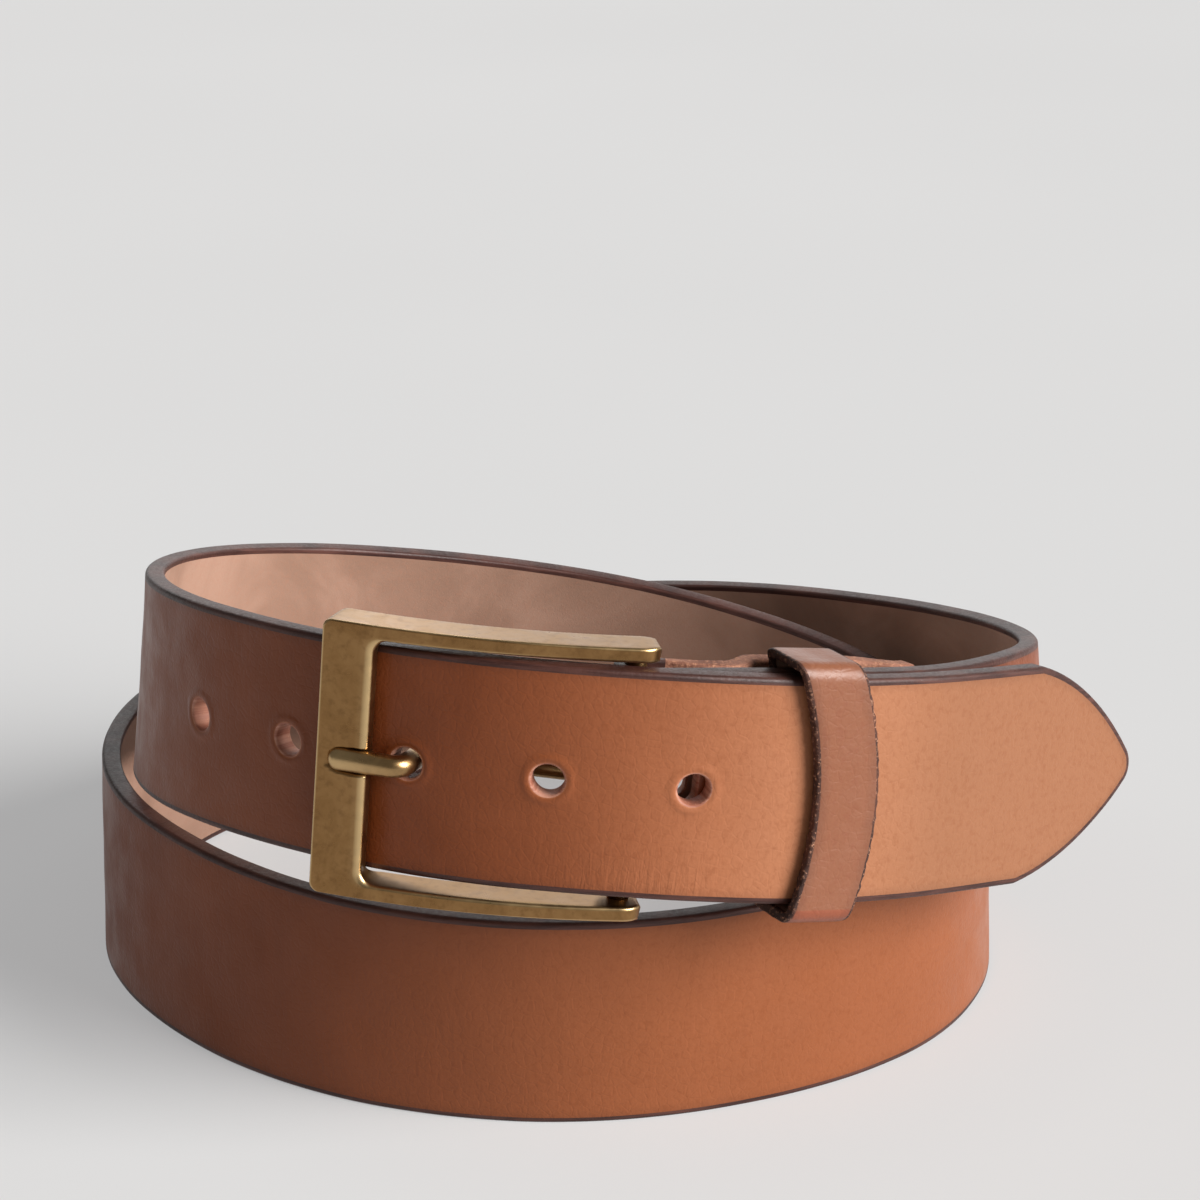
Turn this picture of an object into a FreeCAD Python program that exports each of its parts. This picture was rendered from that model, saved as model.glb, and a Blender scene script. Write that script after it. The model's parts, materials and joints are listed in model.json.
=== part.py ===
import FreeCAD, Part
import math
import os

from FreeCAD import Matrix, Placement, Vector

os.makedirs("parts", exist_ok=True)

# A leather belt, buckled and wound twice round so that it stands on its long edge, in millimetres.
# +Z is up. The origin is on the surface that the belt stands on, under the middle of the coil.
# The front, with the buckle, faces -Y. Seen from above, the strap runs clockwise from its tip.

# Strap
WIDTH = 40.0
THICKNESS = 3.6
SKIVED = 2.0                # the strap is pared to this where it folds round the pivot bar
LAYER_GAP = 0.4             # air between two layers that lie against each other
TIP_LENGTH = 31.0           # from the tip's point to the full width
TIP_NOSE_TURN = 42.0        # degrees that the tip's edge turns through from its point to its long side
TIP_SHOULDER_TURN = 78.0    # and to its shoulder
TIP_SHOULDER_RADIUS = 2.5
CUT_REACH = 6.0             # a cutter stands out this far from the strap's middle, clear of both faces
HOLE_RADIUS = 2.75
HOLE_PITCH = 24.0
HOLE_COUNT = 5
FIRST_HOLE = 105.0          # along the strap from the tip's point
PRONG_HOLE = 2              # the prong uses the middle hole, counting from 0
SECTION_STEP = 12.0         # spacing of the cross-sections that the strap's faces are drawn through
FOLD_STEPS = 12             # cross-sections in the fold's half turn
FLAP_STEPS = 24             # and in the flap

# Buckle end: lengths along the strap, measured back from the pivot bar unless they say otherwise
PIVOT_FROM_TIP = 115.0      # where the tip end crosses the pivot bar
STACK_LENGTH = 60.0         # the buckle end lies against the tip end over this length
PIVOT_DROP = 1.2            # the buckle end hangs this much lower than the tip end at the pivot bar
SKIVE_LENGTH = 18.0
FLAP_LENGTH = 57.5
SLOT_HEIGHT = 7.0           # slot in the fold, for the prong's eye
SLOT_REACH = 11.0
SLOT_DEPTH_BEHIND = 6.5     # the slot is cut this far behind the pivot bar's middle
SLOT_DEPTH = 12.0           # and this deep altogether
KEEPER_PLACE = 34.5
STITCH_PLACES = (14.5, 54.0)
SWELL_START = 1.5           # past the first stitched row, the flap starts to swell over the keeper
DROP_SPAN = (-10.0, 38.0)   # the buckle end's drop fades out over this stretch

# Keeper
KEEPER_WIDTH = 12.5
KEEPER_THICKNESS = 2.0
KEEPER_BOW = 4.5            # the loop's middle is pushed this far towards the tip
KEEPER_SKEW = 2.8           # its top stands this much nearer to the buckle, and its foot to the tip
KEEPER_PLAY = 1.0           # how far it slides each way between the stitches
KEEPER_POCKET_GAP = 0.6     # left between it and the flap at the end of that slide
KEEPER_FRONT_GAP = 0.5
KEEPER_BACK_GAP = 1.0
KEEPER_EDGE_GAP = 1.1
KEEPER_CORNER = 2.8
STAPLE_RADIUS = 0.35
STAPLE_CROWN = 9.0

# Stitches
THREAD_RADIUS = 0.35
THREAD_PITCH = 4.5
THREAD_COUNT = 8
THREAD_HOLE_RADIUS = 0.5
THREAD_LEG_RADIUS = 0.25    # the thread is pulled thin where it passes through the leather
THREAD_OVERHANG = 0.3       # the runs go on this far past the end legs

# Buckle. In its own plan, X runs from the pivot bar to the end bar and Y outwards.
BAR_RADIUS = 1.8            # pivot bar, cast in one with the frame
BAR_CLEARANCE = 0.1
OPENING_HALF = 21.6         # half the frame's inner height
FRAME_HALF = 24.2           # half its outer height
FRONT_AT_PIVOT = 5.5        # the front face stands this far in front of the pivot bar's middle
FRAME_REACH = 51.8          # X of the end bar's outer edge
FRAME_FALL = -7.9           # and its Y: the frame curves with the strap
FRAME_ARCH = 3.0
ARM_DEPTH = 7.6
END_BAR_WIDTH = 9.0
END_BAR_THICKNESS = 3.6
PRONG_RADIUS = 1.9
PRONG_BEND_RADIUS = 2.4
PRONG_INNER_GAP = 1.6       # between the strap and the prong behind it
PRONG_OUTER_GAP = 0.5       # and in front of it
PRONG_TIP_REACH = 5.0       # how far the prong lies over the end bar
PRONG_TIP_SINK = 0.7        # the prong's middle lies this far under the end bar's front face
NOTCH_CLEARANCE = 0.25
EYE_HEIGHT = 4.4
EYE_WALL = 1.3
EYE_CLEARANCE = 0.08

# The strap's middle line, by hand: x, y, height, and the lean in degrees (positive tips the top outwards).
# It starts at the tip, passes the front on top, goes once round on the inside while it comes down to the
# ground, and once more round on the outside while it climbs back to the front.
STATIONS = [
    (96.0, -28.5, 50.5, -6.0),
    (69.0, -55.0, 58.5, -2.0),
    (40.0, -78.5, 66.0, -1.5),
    (4.0, -90.0, 72.0, -2.0),
    (-33.5, -83.5, 73.5, -3.0),
    (-64.5, -61.0, 71.5, -4.0),
    (-83.0, -28.5, 66.0, -5.5),
    (-84.5, 9.0, 58.5, -7.0),
    (-67.0, 41.5, 50.0, -8.5),
    (-35.5, 61.5, 42.0, -8.5),
    (1.5, 66.5, 35.0, -7.0),
    (37.5, 56.0, 28.5, -5.0),
    (64.5, 29.5, 23.5, -3.5),
    (73.0, -7.0, 20.5, -2.5),
    (59.0, -42.0, 20.0, 0.0),
    (28.5, -65.0, 20.0, 2.5),
    (-9.0, -73.5, 20.0, 3.0),
    (-46.0, -64.5, 20.0, 0.5),
    (-76.0, -41.0, 20.0, -2.0),
    (-95.0, -8.0, 20.0, -2.0),
    (-95.5, 30.0, 20.0, 0.0),
    (-77.0, 63.0, 20.5, 1.0),
    (-45.0, 83.5, 22.0, 0.5),
    (-7.0, 89.0, 24.5, -1.0),
    (29.5, 79.0, 28.5, -3.0),
    (59.5, 56.0, 33.5, -5.5),
    (78.0, 23.5, 40.5, -7.0),
    (81.5, -13.5, 49.0, -6.5),
    (71.0, -43.0, 56.5, -4.0),
]
# Brings the finished belt's box over the origin, and sinks its level stretch a little under Z = 0, where it is
# cut: the strap's long edge is worn flat where it stands
CENTRING = Vector(0.65, 0.74, -0.2)
UP = Vector(0, 0, 1)


def centred(station):
    """A station moved so that the belt stands over the origin."""
    x, y, height, lean = station
    return x + CENTRING.x, y + CENTRING.y, height + CENTRING.z, lean


class Path:
    """A smooth line through stations, with the strap's tangent, upward and outward directions on it."""

    def __init__(self, stations):
        points = [Vector(*station[:3]) for station in stations]
        places = [0.0]
        for start, end in zip(points, points[1:]):
            places.append(places[-1] + start.distanceToPoint(end))
        self.line = Part.BSplineCurve()
        self.line.interpolate(Points=points, Parameters=places)
        leans = [Vector(place, station[3], 0) for place, station in zip(places, stations)]
        self.lean = Part.BSplineCurve()
        self.lean.interpolate(Points=leans, Parameters=places)
        self.length = self.line.length()

    def frame(self, place):
        """Point, tangent, up and outward normal at a length along the line."""
        parameter = self.line.parameterAtDistance(place, 0.0)
        tangent = self.line.tangent(parameter)[0]
        level = Vector(-tangent.y, tangent.x, 0).normalize()
        upright = tangent.cross(level)
        if upright.z < 0:
            upright = upright * -1
        angle = math.radians(self.lean.value(parameter).y)
        up = upright * math.cos(angle) + level * math.sin(angle)
        out = level * math.cos(angle) - upright * math.sin(angle)
        return self.line.value(parameter), tangent, up, out


def blend(value, start, end):
    """0 below start, 1 above end, and an S-curve between."""
    share = min(max((value - start) / (end - start), 0.0), 1.0)
    return share * share * (3 - 2 * share)


def end_thickness(back):
    """The buckle end's thickness at a distance back from the pivot bar."""
    return SKIVED + (THICKNESS - SKIVED) * blend(back, 3.0, SKIVE_LENGTH)


def behind(frame, depth, drop=0.0):
    """The frame moved inwards by a depth and down by a drop."""
    point, tangent, up, out = frame
    return point - out * depth - up * drop, tangent, up, out


def outer_layer(tip_end, back):
    """Frame of the buckle end's middle, at a distance back from the pivot bar, behind the tip end."""
    depth = THICKNESS / 2 + LAYER_GAP + end_thickness(back) / 2
    drop = PIVOT_DROP * (1 - blend(back, *DROP_SPAN))
    return behind(tip_end.frame(PIVOT_FROM_TIP - back), depth, drop)


def flap_depth(back):
    """How far the flap's middle lies behind the tip end's middle: it swells over the keeper's back."""
    touching = THICKNESS * 2 + LAYER_GAP * 2
    keeper = touching + KEEPER_BACK_GAP + KEEPER_THICKNESS + 2 * STAPLE_RADIUS
    fold = THICKNESS / 2 + LAYER_GAP + SKIVED * 1.5 + 2 * (BAR_RADIUS + BAR_CLEARANCE)
    pocket = (KEEPER_WIDTH + KEEPER_BOW) / 2 + KEEPER_PLAY + KEEPER_POCKET_GAP
    depth = fold + (touching - fold) * blend(back, 2.0, 14.0)
    swell_end = KEEPER_PLACE - pocket - KEEPER_SKEW / 2
    depth += (keeper - touching) * blend(back, STITCH_PLACES[0] + SWELL_START, swell_end)
    return depth - (keeper - touching) * blend(back, KEEPER_PLACE + pocket, STITCH_PLACES[1] + 1)


def whole_path(tip_end):
    """The strap's middle line from the tip to the pivot bar, through the coil and the stack."""
    stations = [centred(station) for station in STATIONS]
    for back in (STACK_LENGTH, 45.0, 30.0, 15.0, 0.0):
        point, tangent, up, out = outer_layer(tip_end, back)
        lean = tip_end.lean.value(tip_end.line.parameterAtDistance(PIVOT_FROM_TIP - back, 0.0)).y
        stations.append((point.x, point.y, point.z, lean))
    return Path(stations)


def pivot_frame(path):
    """Middle of the pivot bar, with the directions to the end bar, up and outwards."""
    frame = path.frame(path.length)
    return behind(frame, BAR_RADIUS + BAR_CLEARANCE + SKIVED / 2)


def strap_sections(tip_end, path, pivot):
    """Cross-sections of the whole strap, in order: middle, up, outward normal and thickness."""
    sections = []
    count = round(path.length / SECTION_STEP)
    for index in range(count + 1):
        place = path.length * index / count
        point, tangent, up, out = path.frame(place)
        sections.append((point, up, out, end_thickness(path.length - place)))
    middle, along, up, out = pivot
    fold_radius = BAR_RADIUS + BAR_CLEARANCE + SKIVED / 2
    for step in range(1, FOLD_STEPS):
        angle = math.pi * step / FOLD_STEPS
        ray = out * math.cos(angle) + along * math.sin(angle)
        sections.append((middle + ray * fold_radius, up, ray, SKIVED))
    inward = out * -1
    sections.append((middle + inward * fold_radius, up, inward, SKIVED))
    return sections + flap_sections(tip_end)


def flap_sections(tip_end):
    """Cross-sections of the folded flap, from the fold to its end, square to its own middle line."""
    count = FLAP_STEPS
    points = []
    ups = []
    for index in range(count + 2):
        back = FLAP_LENGTH * index / count
        drop = PIVOT_DROP * (1 - blend(back, *DROP_SPAN))
        point, tangent, up, out = behind(tip_end.frame(PIVOT_FROM_TIP - back), flap_depth(back), drop)
        points.append(point)
        ups.append(up)
    sections = []
    for index in range(1, count + 1):
        along = (points[index + 1] - points[index - 1]).normalize()
        inward = ups[index].cross(along).normalize()
        thick = end_thickness(FLAP_LENGTH * index / count)
        sections.append((points[index], ups[index], inward, thick))
    return sections


class Band:
    """The strap as a band whose four long faces are ruled between edges through its sections' corners."""

    ring = [(1, 1), (1, -1), (-1, -1), (-1, 1)]

    def __init__(self, sections):
        self.places = [0.0]
        for start, end in zip(sections, sections[1:]):
            self.places.append(self.places[-1] + start[0].distanceToPoint(end[0]))
        self.edges = {}
        for side, face in self.ring:
            corners = [
                point + up * (side * WIDTH / 2) + out * (face * thick / 2)
                for point, up, out, thick in sections
            ]
            curve = Part.BSplineCurve()
            curve.interpolate(Points=corners, Parameters=self.places)
            self.edges[side, face] = curve

    def solid(self, first, last):
        """The closed solid between two sections."""
        edges = {}
        for key, curve in self.edges.items():
            piece = curve.copy()
            piece.segment(self.places[first], self.places[last])
            edges[key] = piece
        faces = []
        for key, following in zip(self.ring, self.ring[1:] + self.ring[:1]):
            faces.append(Part.makeRuledSurface(edges[key].toShape(), edges[following].toShape()))
        for place in (self.places[first], self.places[last]):
            loop = [edges[key].value(place) for key in self.ring]
            faces.append(Part.Face(Part.makePolygon(loop + loop[:1])))
        shell = Part.makeShell(faces)
        shell.sewShape()
        solid = Part.makeSolid(Part.makeShell(shell.Faces))
        solid.fix(0.001, 0.001, 0.001)
        return solid


def placed(shape, frame):
    """A shape drawn with X along the strap, Y outwards and Z up, moved into a frame."""
    point, tangent, up, out = frame
    into_frame = Placement(Matrix(
        tangent.x, out.x, up.x, point.x,
        tangent.y, out.y, up.y, point.y,
        tangent.z, out.z, up.z, point.z,
        0, 0, 0, 1,
    ))
    moved = shape.copy()
    moved.Placement = into_frame.multiply(shape.Placement)
    return moved


def local_point(frame, point):
    """X along the strap and Y outwards of a point, measured in a frame."""
    offset = point - frame[0]
    return offset.dot(frame[1]), offset.dot(frame[3])


def tip_radii():
    """Radii of the tip's point and of its long side. Turning through its angles with these and the shoulder's
    radius, the edge reaches the full width at the tip's length."""
    nose, shoulder = math.radians(TIP_NOSE_TURN), math.radians(TIP_SHOULDER_TURN)
    rise = WIDTH / 2 - TIP_SHOULDER_RADIUS * (1 - math.sin(shoulder))
    reach = TIP_LENGTH - TIP_SHOULDER_RADIUS * math.cos(shoulder)
    side_rise = math.sin(shoulder) - math.sin(nose)
    side_reach = math.cos(nose) - math.cos(shoulder)
    scale = math.sin(nose) * side_reach - side_rise * (1 - math.cos(nose))
    nose_radius = (rise * side_reach - side_rise * reach) / scale
    return nose_radius, (math.sin(nose) * reach - (1 - math.cos(nose)) * rise) / scale


def tip_edge(side):
    """Three arcs from the tip's point to its shoulder, on one side, in the X-Z plane."""
    turns = [0.0, math.radians(TIP_NOSE_TURN), math.radians(TIP_SHOULDER_TURN), math.pi / 2]
    start = Vector(0, 0, 0)
    arcs = []
    for radius, low, high in zip(tip_radii() + (TIP_SHOULDER_RADIUS,), turns, turns[1:]):
        points = []
        for turn in (low, (low + high) / 2, high):
            along = radius * (math.cos(low) - math.cos(turn))
            rise = radius * (math.sin(turn) - math.sin(low))
            points.append(start + Vector(along, 0, side * rise))
        arcs.append(Part.Arc(*points).toShape())
        start = points[-1]
    return arcs, start


def tip_waste():
    """What is cut away round the tip. The tip's point is at X = 0 and the strap runs along +X."""
    half = WIDTH / 2
    margin = 5.0
    upper, top = tip_edge(1)
    lower, bottom = tip_edge(-1)
    beyond = Vector(margin * 2, 0, 0)
    back = Part.makePolygon([top, top + beyond, bottom + beyond, bottom])
    outline = Part.Wire(Part.__sortEdges__(upper + lower + back.Edges))
    kept = Part.Face(outline).extrude(Vector(0, 4 * CUT_REACH, 0))
    kept.translate(Vector(0, -2 * CUT_REACH, 0))
    corner = Vector(-margin, -CUT_REACH, -half - margin)
    around = Part.makeBox(TIP_LENGTH + margin, 2 * CUT_REACH, WIDTH + 2 * margin, corner)
    return around.cut(kept)


def punched_holes(tip_end):
    """The five holes; the prong has one of them."""
    hole = Part.makeCylinder(HOLE_RADIUS, 2 * CUT_REACH, Vector(0, -CUT_REACH, 0), Vector(0, 1, 0))
    return [placed(hole, tip_end.frame(FIRST_HOLE + HOLE_PITCH * index)) for index in range(HOLE_COUNT)]


def ground():
    """The space under the surface that the belt stands on."""
    reach = 150.0
    depth = 5.0
    return Part.makeBox(2 * reach, 2 * reach, depth, Vector(-reach, -reach, -depth))


def thread_heights():
    """Heights of the stitch legs on the strap's middle line."""
    return [THREAD_PITCH * (index - (THREAD_COUNT - 1) / 2) for index in range(THREAD_COUNT)]


def thread_runs(back):
    """Y of the outer and the inner thread, half sunk in the faces of the two layers."""
    outer = end_thickness(back) / 2 - THREAD_RADIUS
    layer = THICKNESS / 2 + LAYER_GAP + end_thickness(back) / 2
    inner = layer - flap_depth(back) - end_thickness(back) / 2 + THREAD_RADIUS
    return outer, inner


def stitch_holes(tip_end, back):
    """Leg holes and the two grooves of one stitched row."""
    outer, inner = thread_runs(back)
    margin = 2.0
    leg = Part.makeCylinder(THREAD_HOLE_RADIUS, outer - inner + 2 * margin, Vector(0, inner - margin, 0),
                            Vector(0, 1, 0))
    cuts = [leg.translated(Vector(0, 0, height)) for height in thread_heights()]
    groove = THREAD_HOLE_RADIUS
    depth = 2 * groove + margin
    length = THREAD_PITCH * (THREAD_COUNT - 1) + 2 * groove
    for low in (outer - groove, inner + groove - depth):
        cuts.append(Part.makeBox(2 * groove, depth, length, Vector(-groove, low, -length / 2)))
    frame = outer_layer(tip_end, back)
    return [placed(cut, frame) for cut in cuts]


def stitches(tip_end, back):
    """One row of thread: an outer and an inner run joined by legs through both layers."""
    outer, inner = thread_runs(back)
    length = THREAD_PITCH * (THREAD_COUNT - 1) + 2 * THREAD_OVERHANG
    run = Part.makeCylinder(THREAD_RADIUS, length, Vector(0, 0, -length / 2), UP)
    leg = Part.makeCylinder(THREAD_LEG_RADIUS, outer - inner, Vector(0, inner, 0), Vector(0, 1, 0))
    legs = [leg.translated(Vector(0, 0, height)) for height in thread_heights()]
    row = run.translated(Vector(0, outer, 0)).fuse([run.translated(Vector(0, inner, 0))] + legs)
    return placed(row, outer_layer(tip_end, back))


def prong_slot():
    """The slot round the pivot bar for the prong's eye, kept clear of the tip end in front of it."""
    slot = Part.makeCylinder(SLOT_REACH, SLOT_HEIGHT, Vector(0, 0, -SLOT_HEIGHT / 2), UP)
    corner = Vector(-SLOT_REACH, -SLOT_DEPTH_BEHIND, -SLOT_HEIGHT / 2)
    return slot.common(Part.makeBox(2 * SLOT_REACH, SLOT_DEPTH, SLOT_HEIGHT, corner))


def strap(tip_end, path, pivot):
    """The whole strap, with its tip, holes, prong slot and stitch holes."""
    sections = strap_sections(tip_end, path, pivot)
    body = Band(sections)
    last = len(sections) - 1
    holes_end = round((FIRST_HOLE + HOLE_PITCH * HOLE_COUNT) / SECTION_STEP)
    fold_end = last - FLAP_STEPS
    fold_start = fold_end - FOLD_STEPS
    stack_start = fold_start - round(STACK_LENGTH / SECTION_STEP) - 1
    tip_piece = body.solid(0, holes_end).cut([placed(tip_waste(), tip_end.frame(0.0))])
    coil = body.solid(holes_end, stack_start).cut([ground()])
    pieces = [tip_piece.cut(punched_holes(tip_end)), coil]
    for first, end in ((stack_start, fold_start), (fold_start, fold_end), (fold_end, last)):
        piece = body.solid(first, end).cut([placed(prong_slot(), pivot)])
        for back in STITCH_PLACES:
            piece = piece.cut(stitch_holes(tip_end, back))
        pieces.append(piece)
    return pieces[0].fuse(pieces[1:])


def rounded_ring(low, high, half, wall, corner):
    """Section of the keeper in the Y-Z plane: a rounded outline with a hole between low and high."""
    def outline(y0, y1, z1, radius):
        block = Part.makeBox(60, y1 - y0, 2 * z1, Vector(-30, y0, -z1))
        along = [edge for edge in block.Edges if abs(edge.tangentAt(0).x) > 0.9]
        return block.makeFillet(radius, along)
    outer = outline(low - wall, high + wall, half + wall, corner)
    return outer.cut(outline(low, high, half, corner - wall))


def keeper_frame(tip_end):
    """Frame of the keeper: on the tip end's middle line."""
    return tip_end.frame(PIVOT_FROM_TIP - KEEPER_PLACE)


def keeper_back():
    """Y of the keeper's back wall on the side that faces the buckle end."""
    return -(THICKNESS * 1.5 + LAYER_GAP + KEEPER_BACK_GAP)


def keeper(tip_end):
    """The keeper: a loop of strap round the tip end and the buckle end, bowed towards the tip and askew."""
    front = THICKNESS / 2 + KEEPER_FRONT_GAP
    half = WIDTH / 2 + KEEPER_EDGE_GAP
    ring = rounded_ring(keeper_back(), front, half, KEEPER_THICKNESS, KEEPER_CORNER)
    top = half + KEEPER_THICKNESS
    reach = KEEPER_WIDTH / 2
    ends = [Vector(-reach, 0, -top), Vector(-reach, 0, top), Vector(reach, 0, top), Vector(reach, 0, -top)]
    ends = [end + Vector(KEEPER_BOW / 2 + math.copysign(KEEPER_SKEW, end.z), 0, 0) for end in ends]
    bow = Vector(-KEEPER_BOW, 0, 0)
    edges = [
        Part.Arc(ends[0], (ends[0] + ends[1]) * 0.5 + bow, ends[1]).toShape(),
        Part.LineSegment(ends[1], ends[2]).toShape(),
        Part.Arc(ends[2], (ends[2] + ends[3]) * 0.5 + bow, ends[3]).toShape(),
        Part.LineSegment(ends[3], ends[0]).toShape(),
    ]
    strip = Part.Face(Part.Wire(edges)).extrude(Vector(0, 60, 0))
    strip.translate(Vector(0, -30, 0))
    loop = ring.common(strip)
    loop = loop.cut(staple_shape(STAPLE_RADIUS + 0.05))
    return placed(loop, keeper_frame(tip_end))


def staple_shape(radius):
    """A wire staple through the keeper's back wall, its crown on the far side."""
    crown = keeper_back() - KEEPER_THICKNESS
    middle = -KEEPER_BOW / 2
    low = Vector(middle, crown, -STAPLE_CROWN / 2)
    shape = Part.makeCylinder(radius, STAPLE_CROWN, low, UP)
    for side in (-1, 1):
        foot = Vector(middle, crown, side * STAPLE_CROWN / 2)
        shape = shape.fuse(Part.makeSphere(radius, foot))
        shape = shape.fuse(Part.makeCylinder(radius, KEEPER_THICKNESS + 0.1, foot, Vector(0, 1, 0)))
    return shape


def frame_circle():
    """Centre and radius of the frame's front face, through its two ends and the arch between them."""
    near = Vector(0, FRONT_AT_PIVOT, 0)
    far = Vector(FRAME_REACH, FRAME_FALL, 0)
    half = near.distanceToPoint(far) / 2
    radius = (half * half + FRAME_ARCH * FRAME_ARCH) / (2 * FRAME_ARCH)
    chord = (far - near).normalize()
    inward = Vector(chord.y, -chord.x, 0)
    return (near + far) * 0.5 + inward * (radius - FRAME_ARCH), radius


def on_frame(angle, depth):
    """A plan point at an angle round the frame's circle and a depth behind its front face."""
    centre, radius = frame_circle()
    return centre + Vector(math.cos(angle), math.sin(angle), 0) * (radius - depth)


def frame_angles():
    """Angles of the pivot end, the end bar's inner edge and its outer edge."""
    centre, radius = frame_circle()
    near = math.atan2(FRONT_AT_PIVOT - centre.y, -centre.x)
    far = math.atan2(FRAME_FALL - centre.y, FRAME_REACH - centre.x)
    return near, far + END_BAR_WIDTH / radius, far


def ring_sector(start, end, depth, low, high):
    """A curved bar of the frame between two angles, from its front face to a depth."""
    middle = (start + end) / 2
    outline = [
        Part.Arc(on_frame(start, 0), on_frame(middle, 0), on_frame(end, 0)).toShape(),
        Part.LineSegment(on_frame(end, 0), on_frame(end, depth)).toShape(),
        Part.Arc(on_frame(end, depth), on_frame(middle, depth), on_frame(start, depth)).toShape(),
        Part.LineSegment(on_frame(start, depth), on_frame(start, 0)).toShape(),
    ]
    solid = Part.Face(Part.Wire(outline)).extrude(Vector(0, 0, high - low))
    solid.translate(Vector(0, 0, low))
    return solid


def buckle_frame():
    """The frame: two curved arms with round ends, the end bar with its notch, and the pivot bar."""
    near, bar_edge, far = frame_angles()
    thick = FRAME_HALF - OPENING_HALF
    shape = ring_sector(bar_edge, far, END_BAR_THICKNESS, -FRAME_HALF, FRAME_HALF)
    for low in (-FRAME_HALF, OPENING_HALF):
        shape = shape.fuse(ring_sector(near, far, ARM_DEPTH, low, low + thick))
        nose = on_frame(near, ARM_DEPTH / 2) + Vector(0, 0, low)
        shape = shape.fuse(Part.makeCylinder(ARM_DEPTH / 2, thick, nose, UP))
    bar = Part.makeCylinder(BAR_RADIUS, 2 * OPENING_HALF + 1, Vector(0, 0, -OPENING_HALF - 0.5), UP)
    shape = shape.fuse(bar).removeSplitter()
    return shape.cut(rod(prong_tip_line(), PRONG_RADIUS + NOTCH_CLEARANCE))


def prong_tip_line():
    """The straight stretch of the prong that lies over the end bar, from its inner edge to the tip."""
    near, bar_edge, far = frame_angles()
    start = on_frame(bar_edge, PRONG_TIP_SINK)
    along = (on_frame(far, PRONG_TIP_SINK) - start).normalize()
    return [start - along * 2.0, start + along * PRONG_TIP_REACH]


def prong_line(tip_end, pivot):
    """The prong's middle line in plan: behind the strap, out through its hole, and over the end bar."""
    start, tip = prong_tip_line()
    point, tangent, up, out = tip_end.frame(FIRST_HOLE + HOLE_PITCH * PRONG_HOLE)
    hole = Vector(*local_point(pivot, point), 0)
    normal = Vector(out.dot(pivot[1]), out.dot(pivot[3]), 0).normalize()
    half = THICKNESS / 2 + PRONG_RADIUS
    inner = hole - normal * (half + PRONG_INNER_GAP)
    outer = hole + normal * (half + PRONG_OUTER_GAP)
    return [Vector(inner).normalize() * (BAR_RADIUS + EYE_WALL), inner, outer, tip]


def straight_rod(start, end, radius):
    """A cylinder from one point to another."""
    return Part.makeCylinder(radius, start.distanceToPoint(end), start, end - start)


def rod(points, radius, bend=0.0):
    """A round rod along straight runs joined by arcs of one bend radius, with a round end."""
    start = points[0]
    pieces = []
    for before, corner, after in zip(points, points[1:], points[2:]):
        back = (before - corner).normalize()
        ahead = (after - corner).normalize()
        half = back.getAngle(ahead) / 2
        reach = bend / math.tan(half)
        centre = corner + (back + ahead).normalize() * (bend / math.sin(half))
        enter = corner + back * reach
        leave = corner + ahead * reach
        section = Part.Face(Part.Wire(Part.makeCircle(radius, enter, back)))
        axis = (enter - centre).cross(leave - centre)
        pieces.append(straight_rod(start, enter, radius))
        pieces.append(section.revolve(centre, axis, 180 - 2 * math.degrees(half)))
        start = leave
    pieces.append(straight_rod(start, points[-1], radius))
    pieces.append(Part.makeSphere(radius, points[-1]))
    return pieces[0].fuse(pieces[1:])


def prong(tip_end, pivot):
    """The prong, with its eye round the pivot bar."""
    low = Vector(0, 0, -EYE_HEIGHT / 2)
    inner = BAR_RADIUS + EYE_CLEARANCE
    body = rod(prong_line(tip_end, pivot), PRONG_RADIUS, PRONG_BEND_RADIUS)
    body = body.fuse(Part.makeCylinder(inner + EYE_WALL, EYE_HEIGHT, low, UP))
    return body.cut(Part.makeCylinder(inner, EYE_HEIGHT + 2, low - UP, UP))


def main():
    tip_end = Path([centred(station) for station in STATIONS])
    path = whole_path(tip_end)
    pivot = pivot_frame(path)
    nodes = {
        "strap": strap(tip_end, path, pivot),
        "stitching_by_bar": stitches(tip_end, STITCH_PLACES[0]),
        "stitching_by_flap_end": stitches(tip_end, STITCH_PLACES[1]),
        "keeper": keeper(tip_end),
        "keeper_staple": placed(staple_shape(STAPLE_RADIUS), keeper_frame(tip_end)),
        "buckle_frame": placed(buckle_frame(), pivot),
        "prong": placed(prong(tip_end, pivot), pivot),
    }
    for name, shape in nodes.items():
        shape.exportStep(f"parts/{name}.step")
        print(name, round(shape.Volume, 1), shape.isValid(), len(shape.Solids))
    print("pivot bar: middle, direction to the end bar, up, out", pivot)
    print("keeper: middle, slide, up, out", keeper_frame(tip_end))
    for index in range(HOLE_COUNT):
        print("hole", index, tip_end.frame(FIRST_HOLE + HOLE_PITCH * index))
    print("box", max_box(nodes.values()))


def max_box(shapes):
    """The box round all the pieces."""
    box = FreeCAD.BoundBox()
    for shape in shapes:
        box.add(shape.BoundBox)
    return box


main()
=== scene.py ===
import json
import math

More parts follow.
